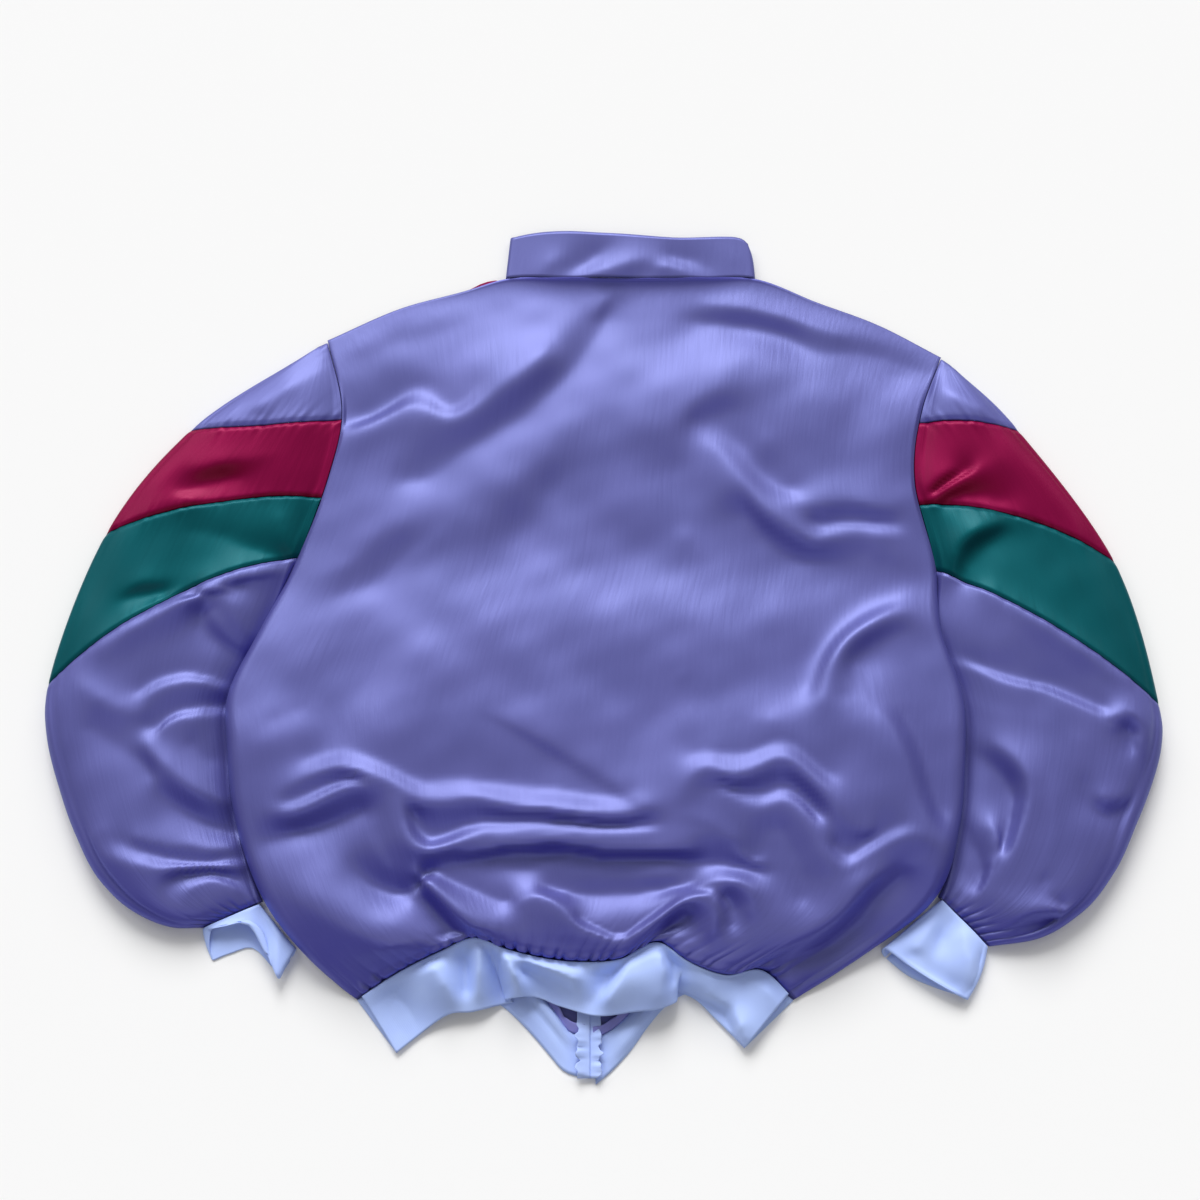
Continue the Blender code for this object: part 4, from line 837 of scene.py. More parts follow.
def along(table, column, at):
    """Smooth reading of one named column of a table, whose first column is the station."""
    stations = np.array([row[0] for row in table], float)
    values = np.array([getattr(row, column) for row in table], float)
    slopes = np.gradient(values, stations)
    at = np.clip(at, stations[0], stations[-1])
    low = np.clip(np.searchsorted(stations, at) - 1, 0, len(stations) - 2)
    span = stations[low + 1] - stations[low]
    share = (at - stations[low]) / span
    square = share * share
    cube = square * share
    return ((2 * cube - 3 * square + 1) * values[low]
            + (cube - 2 * square + share) * span * slopes[low]
            + (3 * square - 2 * cube) * values[low + 1]
            + (cube - square) * span * slopes[low + 1])


Station = namedtuple("Station", "at x y")


def smooth_path(points):
    """Points of a smooth curve through a fold's own points."""
    table = [Station(at, x, y) for at, (x, y) in enumerate(points)]
    steps = np.linspace(0, len(points) - 1, (len(points) - 1) * FOLD_STEPS + 1)
    return np.stack([along(table, "x", steps), along(table, "y", steps)], axis=1)


def slope_sum(height):
    """How far each cell of a raster stands over its four neighbours, added up."""
    padded = np.pad(height, 1, mode="edge")
    around = padded[:-2, 1:-1] + padded[2:, 1:-1] + padded[1:-1, :-2] + padded[1:-1, 2:]
    return 4 * height - around


def fold_lines(fold_set, low, shape):
    """Rasters of how strongly the fold lines hold each cell, and of that times their height."""
    hold = np.zeros(shape)
    held = np.zeros(shape)
    for fold in fold_set.folds:
        path = smooth_path(fold.path)
        travelled = np.concatenate([[0], np.cumsum(np.hypot(*np.diff(path, axis=0).T))])
        steps = np.linspace(0, travelled[-1], int(travelled[-1] / LINE_STEP) + 2)
        share = steps / travelled[-1]
        taper = ease(share / FOLD_TAPER) * ease((1 - share) / FOLD_TAPER)
        height = np.interp(share, np.linspace(0, 1, len(fold.heights)), fold.heights)
        column = (np.interp(steps, travelled, path[:, 0]) - low[0]) / CELL
        row = (np.interp(steps, travelled, path[:, 1]) - low[1]) / CELL
        for next_row in (0, 1):
            for next_column in (0, 1):
                cell_row = np.floor(row).astype(int) + next_row
                cell_column = np.floor(column).astype(int) + next_column
                near = (1 - abs(row - cell_row)) * (1 - abs(column - cell_column))
                weight = LINE_HOLD * taper * near
                inside = (cell_row >= 0) & (cell_row < shape[0])
                inside = inside & (cell_column >= 0) & (cell_column < shape[1])
                cells = (cell_row[inside], cell_column[inside])
                np.add.at(hold, cells, weight[inside])
                np.add.at(held, cells, (weight * height)[inside])
    return hold, held


def relax(fold_set, low, shape):
    """Raster of the cloth's height with least bending and stretching between its fold lines."""
    hold, held = fold_lines(fold_set, low, shape)
    bend = (fold_set.rounding / CELL) ** 2
    settle = (CELL / fold_set.spread) ** 2

    def pull(height):
        slopes = slope_sum(height)
        return settle * height + slopes + bend * slope_sum(slopes) + hold * height

    scale = 1 / (settle + 4 + 20 * bend + hold)
    height = np.zeros(shape)
    rest = held.copy()
    step = scale * rest
    way = step.copy()
    power = np.sum(rest * step)
    for _ in range(RELAX_TURNS):
        pulled = pull(way)
        length = power / max(np.sum(way * pulled), 1e-12)
        height += length * way
        rest -= length * pulled
        step = scale * rest
        new_power = np.sum(rest * step)
        way = step + new_power / max(power, 1e-12) * way
        power = new_power
    return height


def cubic_weights(share):
    """Weights of four neighbouring cells for a smooth reading between the middle two."""
    square = share * share
    cube = square * share
    return (-0.5 * cube + square - 0.5 * share, 1.5 * cube - 2.5 * square + 1,
            -1.5 * cube + 2 * square + 0.5 * share, 0.5 * cube - 0.5 * square)


def fold_lift(fold_set, x, y):
    """Height that a set of folds gives to points of the plan."""
    low = (x.min() - 4 * CELL, y.min() - 4 * CELL)
    shape = (int((y.max() - low[1]) / CELL) + 6, int((x.max() - low[0]) / CELL) + 6)
    raster = relax(fold_set, low, shape)
    column = (x - low[0]) / CELL
    row = (y - low[1]) / CELL
    first_column = np.floor(column).astype(int)
    first_row = np.floor(row).astype(int)
    lift = np.zeros_like(x)
    for down, row_weight in enumerate(cubic_weights(row - first_row)):
        for right, column_weight in enumerate(cubic_weights(column - first_column)):
            lift += row_weight * column_weight * raster[first_row + down - 1, first_column + right - 1]
    return lift


def ripples(x, y, seed):
    """Faint uneven swells that slack cloth has everywhere, by the place in the plan."""
    draw = np.random.default_rng(seed)
    lift = np.zeros_like(x)
    for length in np.linspace(*RIPPLE_LENGTHS, RIPPLE_COUNT):
        heading = draw.uniform(0, np.pi)
        distance = x * np.cos(heading) + y * np.sin(heading)
        lift += length * np.sin(2 * np.pi * distance / length + draw.uniform(0, 2 * np.pi))
    return RIPPLE_SLOPE * lift


def gather_ridges(count, share, seed):
    """Uneven ridges of cloth gathered along a seam, and the depth and length of the creases between."""
    draw = np.random.default_rng(seed)
    creases = np.linspace(0, 1, count + 1)
    creases[1:-1] += draw.uniform(-GATHER_UNEVEN, GATHER_UNEVEN, count - 1) / count
    heights = draw.uniform(*RIDGE_HEIGHTS, count)
    depths = draw.uniform(*CREASE_DEPTHS, count + 1)
    lengths = draw.uniform(*CREASE_LENGTHS, count + 1)
    cell = np.clip(np.searchsorted(creases, share, side="right") - 1, 0, count - 1)
    place = np.clip((share - creases[cell]) / (creases[cell + 1] - creases[cell]), 0, 1)
    near = cell + (place > 0.5)
    away = np.minimum(place, 1 - place) / CREASE_WIDTH
    ridges = heights[cell] * np.sin(np.pi * place) ** RIDGE_FULLNESS
    return ridges, depths[near] * np.exp(-away ** 2), lengths[near]


def pucker(distance, seed):
    """Uneven small waves along a seam, by the distance along it."""
    draw = np.random.default_rng(seed)
    wave = np.zeros_like(distance)
    for length in PUCKER_LENGTHS:
        turn = 2 * np.pi * distance / length + draw.uniform(0, ANY_PHASE)
        wave += np.sin(turn) * draw.uniform(*PUCKER_SHARES)
    return wave / PUCKER_SCALE


# Lie of each piece

def back_point(across, down):
    """Back panel: left to right across, collar to waist down."""
    roll_share = ROLL_COLUMNS / (2 * ROLL_COLUMNS + BACK_COLUMNS)
    left_x, left_y, right_x, right_y = (along(BODY, name, down)
                                        for name in ("left_x", "left_y", "right_x", "right_y"))
    roll = along(BODY, "roll", down)
    start = np.radians(along(BODY, "tuck", down))
    width = np.hypot(right_x - left_x, right_y - left_y)
    reach = roll * np.cos(np.maximum(start, 0))
    left_angle = start + (np.pi / 2 - start) * np.clip(across / roll_share, 0, 1)
    right_angle = start + (np.pi / 2 - start) * np.clip((1 - across) / roll_share, 0, 1)
    middle = np.clip((across - roll_share) / (1 - 2 * roll_share), 0, 1)
    place = (reach - roll * np.cos(left_angle) + middle * (width - 2 * reach) + roll * np.cos(right_angle))
    part = place / width
    x = left_x + (right_x - left_x) * part
    y = left_y + (right_y - left_y) * part
    angle = np.minimum(left_angle, right_angle)
    z = along(BODY, "seam", down) + roll * (np.sin(angle) - np.sin(start))
    z = z + along(BODY, "crown", down) * crown(middle)

    to_top = np.clip(1 - down / TOP_REACH, 0, 1)
    to_hem = np.clip((down - 1 + HEM_REACH) / HEM_REACH, 0, 1)
    y = y + along(TOP_EDGE, "rise", part) * to_top ** 2 + along(HEM, "rise", part) * to_hem ** 2
    hang = np.sin(np.pi * np.clip((down - 1 + OVERHANG_REACH) / OVERHANG_REACH, 0, 1))
    y = y - along(HEM, "overhang", part) * hang

    free = ease(np.minimum(across, 1 - across) / roll_share)
    free = free * ease(down / TOP_FREE) * ease((1 - down) / HEM_FREE)
    for folds in (BACK_SWELLS, BACK_FOLDS, UPPER_FOLDS, BACK_CREASES, LOWER_FOLDS):
        z = z + free * fold_lift(folds, x, y)
    z = z + free * ripples(x, y, BACK_RIPPLE_SEED)
    ridges, creases, lengths = gather_ridges(GATHERS, middle, BACK_GATHER_SEED)
    creases = creases * along(HEM, "gather", part)
    z = z + GATHER_HEIGHT * (ridges - RIDGE_LEVEL) * ease((down - 1 + GATHER_REACH) / GATHER_REACH)
    y = y - GATHER_BULGE * ridges * bell((1 - down - BULGE_AT) / BULGE_AT)
    dent = CREASE_DEPTH * creases * bell((1 - down) / (CREASE_LENGTH * lengths))
    top_height = along(TOP_EDGE, "height", part)
    z = top_height + (z - top_height) * round_off(down / SHOULDER_ROLL)
    hem_height = along(HEM, "height", part)
    z = hem_height + (z - hem_height) * round_off((1 - down) / HEM_ROLL) - dent
    y = y - HALF_SEAM * (down <= 0) + HALF_SEAM * (down >= 1) + dent / 2
    return x, y, z


def hem_point(across):
    """Waist seam of the back, at the edge of the waistband, clear of the rolls at its ends."""
    end = BODY[-1]
    width = end.right_x - end.left_x
    reach = end.roll * np.cos(np.radians(end.tuck))
    part = (reach + across * (width - 2 * reach)) / width
    y = end.left_y + along(HEM, "rise", part) - WAIST_GAP
    return end.left_x + width * part, y, along(HEM, "height", part)


def back_band_point(across, down):
    """Back half of the waistband: left to right across, seam to free edge down."""
    seam_x, seam_y, seam_z = hem_point(across)
    edge_x, edge_y, edge_z = (along(BACK_BAND_EDGE, name, across) for name in ("x", "y", "height"))
    x = seam_x + (edge_x - seam_x) * down
    y = seam_y + (edge_y - seam_y) * down
    puff = BAND_PUFF * np.sin(np.pi * down) ** 2 * np.sin(np.pi * across)
    z = seam_z + (edge_z - seam_z) * down + puff + fold_lift(BAND_CREASES, x, y) * ease(down / BAND_FREE)
    return x, y, np.maximum(z, 2 * KNIT_WALL + SEAM)


def zip_x(y):
    """Centre front line at a height y of the plan."""
    share = np.clip((ZIP_TOP[1] - y) / (ZIP_TOP[1] - ZIP_WAIST[1]), 0, 1)
    return ZIP_TOP[0] + (ZIP_WAIST[0] - ZIP_TOP[0]) * share


def front_point(side, across, down):
    """One front, flat on the surface: side to zip across, shoulder to waist down."""
    name = SIDE_NAMES[side]
    under_side = ease((down - UNDERARM) / INSET_REACH) * ease((1 - down) / INSET_REACH)
    inset = ARMHOLE_INSET + (SIDE_INSET - ARMHOLE_INSET) * under_side
    outer_x = along(BODY, name + "_x", down) - side * inset
    outer_y = along(BODY, name + "_y", down)
    middle_y = ZIP_TOP[1] + (ZIP_WAIST[1] - ZIP_TOP[1]) * down
    middle_x = zip_x(middle_y) + side * ZIP_HALF_GAP
    x = outer_x + (middle_x - outer_x) * across
    y = outer_y + (middle_y - outer_y) * across
    to_top = np.clip(1 - down / TOP_REACH, 0, 1)
    to_hem = np.clip((down - 1 + FRONT_HEM_REACH) / FRONT_HEM_REACH, 0, 1)
    y = y + along(FRONT_TOP, "rise", across) * to_top ** 2
    y = y + along(FRONT_HEM[side], "rise", across) * to_hem ** 2
    y = y - SEAM * (down <= 0) + HALF_SEAM * (down >= 1)
    return x, y, np.zeros_like(x)


def front_band_point(side, across, down):
    """Front half of the waistband, on the surface, raised a little where its inside shows."""
    end = np.ones_like(across)
    seam_x, seam_y, _ = front_point(side, across, end)
    seam_y = seam_y - SEAM
    x = seam_x + (along(FRONT_HEM[side], "edge_x", across) - seam_x) * down
    y = seam_y + (along(FRONT_HEM[side], "edge_y", across) - seam_y) * down
    name = SIDE_NAMES[side]
    shows = np.clip(along(FRONT_BAND_SHOWS, "share", across), 0, 1)
    return x, y, along(FRONT_BAND_LIE, name, down) * shows


def neck_y(x):
    """Top edge of the back at a place x."""
    tip = BODY[0]
    part = (x - tip.left_x) / (tip.right_x - tip.left_x)
    return tip.left_y + (tip.right_y - tip.left_y) * part + along(TOP_EDGE, "rise", part)


def collar_point(around, up):
    """Collar: zip, left fold, back, right fold, zip around; neck seam to top edge up."""
    at = around * COLLAR_COLUMNS
    first_front = np.clip(at / COLLAR_FRONT_COLUMNS, 0, 1)
    at = at - COLLAR_FRONT_COLUMNS
    first_fold = np.clip(at / ROLL_COLUMNS, 0, 1)
    at = at - ROLL_COLUMNS
    back = np.clip(at / COLLAR_BACK_COLUMNS, 0, 1)
    at = at - COLLAR_BACK_COLUMNS
    last_fold = np.clip(at / ROLL_COLUMNS, 0, 1)
    last_front = np.clip((at - ROLL_COLUMNS) / COLLAR_FRONT_COLUMNS, 0, 1)

    left_crease = COLLAR_LEFT + COLLAR_FOLD
    right_crease = COLLAR_RIGHT - COLLAR_FOLD
    zip_left = ZIP_TOP[0] - ZIP_HALF_GAP
    zip_right = ZIP_TOP[0] + ZIP_HALF_GAP
    x = zip_left + (left_crease - zip_left) * first_front
    x = x - COLLAR_FOLD * np.sin(np.pi * first_fold)
    x = x + (right_crease - left_crease) * back
    x = x + COLLAR_FOLD * np.sin(np.pi * last_fold) * (1 - up ** 4)
    x = x + (zip_right - right_crease) * last_front
    z = COLLAR_TOP * (0.5 - 0.5 * np.cos(np.pi * (first_fold - last_fold)))
    z = z + COLLAR_CROWN * np.sin(np.pi * back) * (COLLAR_CROWN_FOOT + (1 - COLLAR_CROWN_FOOT) * up)

    to_zip = np.maximum(1 - first_front, last_front)
    fall = along(NECK_FALL, "fall", to_zip)
    deep = along(COLLAR_BACK, "deep", back)
    deep = deep + (COLLAR_FRONT_DEEP - deep) * ease(to_zip / COLLAR_EVEN)
    y = neck_y(np.clip(x, left_crease, right_crease)) + SEAM - fall + deep * up
    share = np.clip((x - COLLAR_LEFT) / (COLLAR_RIGHT - COLLAR_LEFT), 0, 1)
    x = x + (COLLAR_LEAN[0] * (1 - share) - COLLAR_LEAN[1] * share) * up
    return x, y, z + fold_lift(COLLAR_CREASES, x, y) * np.sin(np.pi * back)


def read_row(table, down):
    """All columns of a table at the stations down."""
    return {name: along(table, name, down) for name in table[0]._fields[1:]}


def sleeve_row(side, down):
    """Lie and edges of a sleeve, whose inner edge follows the body."""
    row = read_row(SLEEVE_LIE, down)
    row.update(read_row(SLEEVE_EDGE[side], down))
    name = SIDE_NAMES[side]
    row["inner_x"] = along(BODY, name + "_x", row["beside"]) + side * row["clear"]
    row["inner_y"] = along(BODY, name + "_y", row["beside"])
    return row


def tube_point(row, folds, gathers, around, down):
    """Sleeve or cuff: under layer, outer roll, upper layer and inner roll around; shoulder to wrist down.

    Gives the place, and the share of the way from the inner fold to the outer one.
    """
    at = around * TUBE_COLUMNS
    under = np.clip(at / UNDER_COLUMNS, 0, 1)
    at = at - UNDER_COLUMNS
    outer = np.clip(at / TUBE_ROLL_COLUMNS, 0, 1)
    at = at - TUBE_ROLL_COLUMNS
    upper = np.clip(at / UPPER_COLUMNS, 0, 1)
    inner = np.clip((at - UPPER_COLUMNS) / TUBE_ROLL_COLUMNS, 0, 1)

    run_x = row["outer_x"] - row["inner_x"]
    run_y = row["outer_y"] - row["inner_y"]
    width = np.hypot(run_x, run_y)
    closed = np.clip(row["closed"], 0, 1)
    start = (row["inner_roll"] + TUBE_SEAM) * closed
    outer_centre = width - row["outer_roll"]
    angle = np.pi * (outer - 0.5)
    place = start + (outer_centre - start) * under + row["outer_roll"] * np.cos(angle) * (under >= 1)
    z = row["outer_top"] * (0.5 + 0.5 * np.sin(angle))

    inner_centre = row["inner_roll"]
    place = place + (inner_centre - outer_centre) * upper
    z = z + (row["inner_top"] - row["outer_top"]) * upper + row["crown"] * crown(upper)
    turn = np.radians(90 + (TUBE_END_ANGLE - 90) * inner)
    open_step = -inner_centre * inner
    open_fall = (row["seam"] - row["inner_top"]) * inner ** 2
    closed_step = inner_centre * np.cos(turn)
    closed_fall = row["inner_top"] * (0.5 * np.sin(turn) - 0.5)
    place = place + open_step + (closed_step - open_step) * closed
    z = z + open_fall + (closed_fall - open_fall) * closed

    part = place / width
    x = row["inner_x"] + run_x * part
    y = row["inner_y"] + run_y * part
    if "bow" in row:
        y = y + row["bow"] * 4 * part * (1 - part)
    free = (upper > 0) * ease(1 - inner) * ease((1 - down) / CUFF_FREE)
    z = z + free * (fold_lift(folds, x, y) + ripples(x, y, SLEEVE_RIPPLE_SEED))
    if gathers:
        ridges, creases, lengths = gather_ridges(gathers, upper, CUFF_GATHER_SEED)
        reach = ease((down - 1 + CUFF_GATHER_REACH) / CUFF_GATHER_REACH)
        dent = CUFF_CREASE_DEPTH * creases * bell((1 - down) / (2 * CREASE_LENGTH * lengths))
        z = z + (GATHER_HEIGHT * (ridges - RIDGE_LEVEL) * reach - dent) * (upper > 0) * (upper < 1)
    return x, y, z, part


def cuff_point(side, around, down):
    """Knit cuff, whose two layers hang unevenly."""
    row = read_row(CUFF_LIE, down)
    row.update(read_row(CUFF_EDGE[side], down))
    x, y, z, part = tube_point(row, CUFF_CREASES[side], 0, around, down)
    at = around * TUBE_COLUMNS
    upper = ease((at - UNDER_COLUMNS) / TUBE_ROLL_COLUMNS)
    upper = upper * ease((TUBE_COLUMNS - at) / TUBE_ROLL_COLUMNS)
    under_rise = along(CUFF_HEM[side], "under", part)
    upper_rise = along(CUFF_HEM[side], "upper", part)
    return x, y + (under_rise + (upper_rise - under_rise) * upper) * down ** CUFF_HEM_CURVE, z


def to_ends(own):
    """Rows closer together at both ends, for the sewn edges."""
    return (1 - END_ROWS) * own + END_ROWS * (0.5 - 0.5 * np.cos(np.pi * own))


def stretch(own, start, end):
    """Stations from start to end of the whole, for shares of a piece's own length."""
    return start + (end - start) * own


def sleeve_point(side, panel, around, own):
    """One panel of a sleeve, puckered along its two seams: shoulder end to wrist end own."""
    rows = to_ends(own)
    down = stretch(rows, panel.start + PANEL_GAP, panel.end - PANEL_GAP)
    x, y, z, _ = tube_point(sleeve_row(side, down), SLEEVE_CREASES[side], CUFF_GATHERS, around, down)
    from_seam = np.minimum(rows, 1 - rows) * panel.cut[1] / MM
    upper = around * TUBE_COLUMNS > UNDER_COLUMNS + TUBE_ROLL_COLUMNS / 2
    waves = pucker(np.hypot(x, y), PUCKER_SEED + side) * np.exp(-from_seam / PUCKER_REACH)
    dip = SEAM_DIP * np.exp(-(from_seam / SEAM_DIP_REACH) ** 2)
    return x, y, np.maximum(z + (PUCKER_HEIGHT * waves - dip) * upper, 0)


def frill(distance, seed):
    """Small uneven waves of a loose edge, by the distance along it."""
    draw = np.random.default_rng(seed)
    waves = [np.sin(2 * np.pi * distance / length + draw.uniform(0, ANY_PHASE)) for length in FRILL_LENGTHS]
    return sum(waves) / len(waves)


def tape_point(side, across, down):
    """Zip tape, on the inside of a front: from the coil out across, collar to hem down."""
    y = ZIP_TOP[1] + COLLAR_FRONT_DEEP + (ZIP_END[1] - ZIP_TOP[1] - COLLAR_FRONT_DEEP) * down
    loose = ease((TAPE_LOOSE_AT - y) / TAPE_LOOSE_RUN) * across
    start = TAPE_START[side]
    sideways = TAPE_FRILL * loose * frill(y, TAPE_SIDE_SEED + side)
    x = zip_x(y) + side * (start + (TAPE_WIDTH - start) * across + sideways)
    knit = ease((ZIP_WAIST[1] + TAPE_STEP_START - y) / TAPE_STEP)
    lift = TAPE_FRILL * loose * (TAPE_LIFT + frill(y, TAPE_LIFT_SEED + side))
    z = TAPE_TOP + (KNIT_WALL - SATIN_WALL) * knit + lift
    z = z + TAPE_LAP * (side < 0)
    return x, y, z


def allowance_point(side, across, up):
    """Overlocked allowance that stands up from the waist seam of a front, on the inside."""
    along_seam = ALLOWANCE_START + (1 - ALLOWANCE_START) * across
    x, y, _ = front_point(side, along_seam, np.ones_like(across))
    waves = frill(np.hypot(x, y), ALLOWANCE_SEED + side) * up
    y = y + ALLOWANCE_WIDTH * up * (1 + ALLOWANCE_UNEVEN * waves)
    return x, y, SATIN_WALL + SEAM + ALLOWANCE_HEIGHT * up + ALLOWANCE_FRILL * waves + TAPE_WALL


# Materials

def srgb(code):
    """Linear colour of a hex code."""
    shares = [int(code[at:at + 2], 16) / 255 for at in (1, 3, 5)]
    return (*[part / 12.92 if part <= 0.04045 else ((part + 0.055) / 1.055) ** 2.4 for part in shares], 1)


def add_node(tree, kind, settings=(), links=()):
    """Add a node, give it its settings, and link other nodes' outputs to its inputs."""
    node = tree.nodes.new(kind)
    for name, value in dict(settings).items():
        if name in node.inputs:
            node.inputs[name].default_value = value
        else:
            setattr(node, name, value)
    for name, output in dict(links).items():
        tree.links.new(output, node.inputs[name])
    return node


def ramp_colours(ramp, stops):
    """Set the (position, colour) stops of a colour ramp."""
    while len(ramp.elements) < len(stops):
        ramp.elements.new(1)
    for element, (position, colour) in zip(ramp.elements, stops):
        element.position = position
        element.color = colour


def start_material(name, **settings):
    """A material with its shader's own constant values, and its node tree and shader."""
    material = bpy.data.materials.new(name)
    material.use_nodes = True
    tree = material.node_tree
    shader = tree.nodes["Principled BSDF"]
    for socket, value in settings.items():
        shader.inputs[socket.replace("_", " ")].default_value = value
    return material, tree, shader


def cloudy_tone(tree, place, patch, deep, pale):
    """Colour that drifts between two shades in soft patches of a size in millimetres."""
    cloud = add_node(tree, "ShaderNodeTexNoise", {"Scale": 1 / (patch * MM), "Detail": 2.0},
                     {"Vector": place})
    tone = add_node(tree, "ShaderNodeValToRGB", links={"Fac": cloud.outputs["Fac"]})
    ramp_colours(tone.color_ramp, [(0.3, srgb(deep)), (0.7, srgb(pale))])
    return tone.outputs["Color"]


def polyester_satin(name, deep, pale, shaded, shine, gloss):
    """Filament satin: long floats give it a smooth face with broad, tinted, streaky highlights.

    Slopes turned away from the window get a painted shade: a deeper base colour that stands in for
    their shade and for the light that the cloth beside them gives.
    """
    material, tree, shader = start_material(
        name, Metallic=0.35, Roughness=0.5, Specular_IOR_Level=gloss, Specular_Tint=srgb(shine),
        Coat_Weight=COAT, Coat_Roughness=0.3, Coat_Tint=srgb(shine))
    cut = add_node(tree, "ShaderNodeUVMap", {"uv_map": "cut"})
    # Uneven dye and wear, in patches of about 71 mm
    tone = cloudy_tone(tree, cut.outputs["UV"], 71.43, deep, pale)
    # Painted shade: the base colour is mixed towards the shade colour by the share stored on each vertex
    away = add_node(tree, "ShaderNodeAttribute", {"attribute_name": "away"})
    colour = add_node(tree, "ShaderNodeMixRGB", {"Color2": srgb(shaded)},
                      {"Fac": away.outputs["Fac"], "Color1": tone})
    # Threads are about 0.1 mm apart, drawn at 0.9 mm so that they show
    threads = add_node(tree, "ShaderNodeTexWave",
                       {"wave_type": "BANDS", "bands_direction": "X", "Scale": WAVE_PERIOD / (0.9 * MM),
                        "Distortion": 1.5, "Detail": 2.0, "Detail Scale": 0.4},
                       {"Vector": cut.outputs["UV"]})
    grain = add_node(tree, "ShaderNodeBump", {"Strength": 0.12, "Distance": 0.06 * MM},
                     {"Height": threads.outputs["Fac"]})
    # Faint streaks along the threads, about 5 mm wide and 40 mm long
    lengthwise = add_node(tree, "ShaderNodeMapping", {"Scale": (1 / (5 * MM), 1 / (40 * MM), 1)},
                          {"Vector": cut.outputs["UV"]})
    streaks = add_node(tree, "ShaderNodeTexNoise", {"Scale": 1.0, "Detail": 3.0},
                       {"Vector": lengthwise.outputs["Vector"]})
    relief = add_node(tree, "ShaderNodeBump", {"Strength": 0.35, "Distance": 0.8 * MM},
                      {"Height": streaks.outputs["Fac"], "Normal": grain.outputs["Normal"]})
    tree.links.new(colour.outputs["Color"], shader.inputs["Base Color"])
    tree.links.new(relief.outputs["Normal"], shader.inputs["Normal"])
    return material


def polyester_knit(name, deep, pale):
    """Fine plain knit: a matt, soft face with close upright wales. Tape and thread have such a face too."""
    material, tree, shader = start_material(
        name, Roughness=0.75, Sheen_Weight=0.5, Sheen_Roughness=0.5, Sheen_Tint=srgb(pale))
    cut = add_node(tree, "ShaderNodeUVMap", {"uv_map": "cut"})
    # Uneven dye, in patches of about 33 mm
    tone = cloudy_tone(tree, cut.outputs["UV"], 33.33, deep, pale)
    # Wales are about 0.6 mm apart, drawn at 1.2 mm so that they show
    wales = add_node(tree, "ShaderNodeTexWave",
                     {"wave_type": "BANDS", "bands_direction": "X", "Scale": WAVE_PERIOD / (1.2 * MM),
                      "Distortion": 0.6, "Detail": 1.0},
                     {"Vector": cut.outputs["UV"]})
    relief = add_node(tree, "ShaderNodeBump", {"Strength": 0.2, "Distance": 0.15 * MM},
                      {"Height": wales.outputs["Fac"]})
    tree.links.new(tone, shader.inputs["Base Color"])
    tree.links.new(relief.outputs["Normal"], shader.inputs["Normal"])
    return material


def bare_metal(name, deep, pale):
    """Tumbled die-cast zinc: a dull metal with faint cloudy patches."""
    material, tree, shader = start_material(name, Metallic=1.0, Roughness=0.4)
    place = add_node(tree, "ShaderNodeTexCoord")
    # Patches of about 2 mm
    tone = cloudy_tone(tree, place.outputs["Object"], 2, deep, pale)
    tree.links.new(tone, shader.inputs["Base Color"])
    return material


def make_looks():
    """The material and the slot of every look."""
    looks = {}
    for satin in SATINS:
        material = polyester_satin(satin.material, satin.deep, satin.pale, satin.shaded, satin.shine,
                                   satin.gloss)
        looks[satin.slot] = (material, satin.slot)
    for knit in KNITS:
        looks[knit.look] = (polyester_knit(knit.material, knit.deep, knit.pale), knit.slot)
    looks["zip_metal"] = (bare_metal("satin_zinc", "#8f9096", "#a3a4aa"), "zip_metal")
    return looks


# Pieces

def add_piece(name, mesh, material, node):
    """A finished mesh as a piece of the jacket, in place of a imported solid."""
    mesh.materials.append(material)
    mesh.shade_smooth()
    piece = bpy.data.objects.new(name, mesh)
    bpy.context.collection.objects.link(piece)
    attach(piece, "root")
    if node:
        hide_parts(node)
    return piece


def painted_shade_share(mesh):
    """Share of painted shade for each vertex of a sheet: how far it faces the waist, away from the window,
    from 0 to 1.
    """
    normals = np.empty(len(mesh.vertices) * 3)
    mesh.vertex_normals.foreach_get("vector", normals)
    return np.clip((-normals[1::3] - PAINTED_SHADE_FROM) / (PAINTED_SHADE_TO - PAINTED_SHADE_FROM), 0, 1)


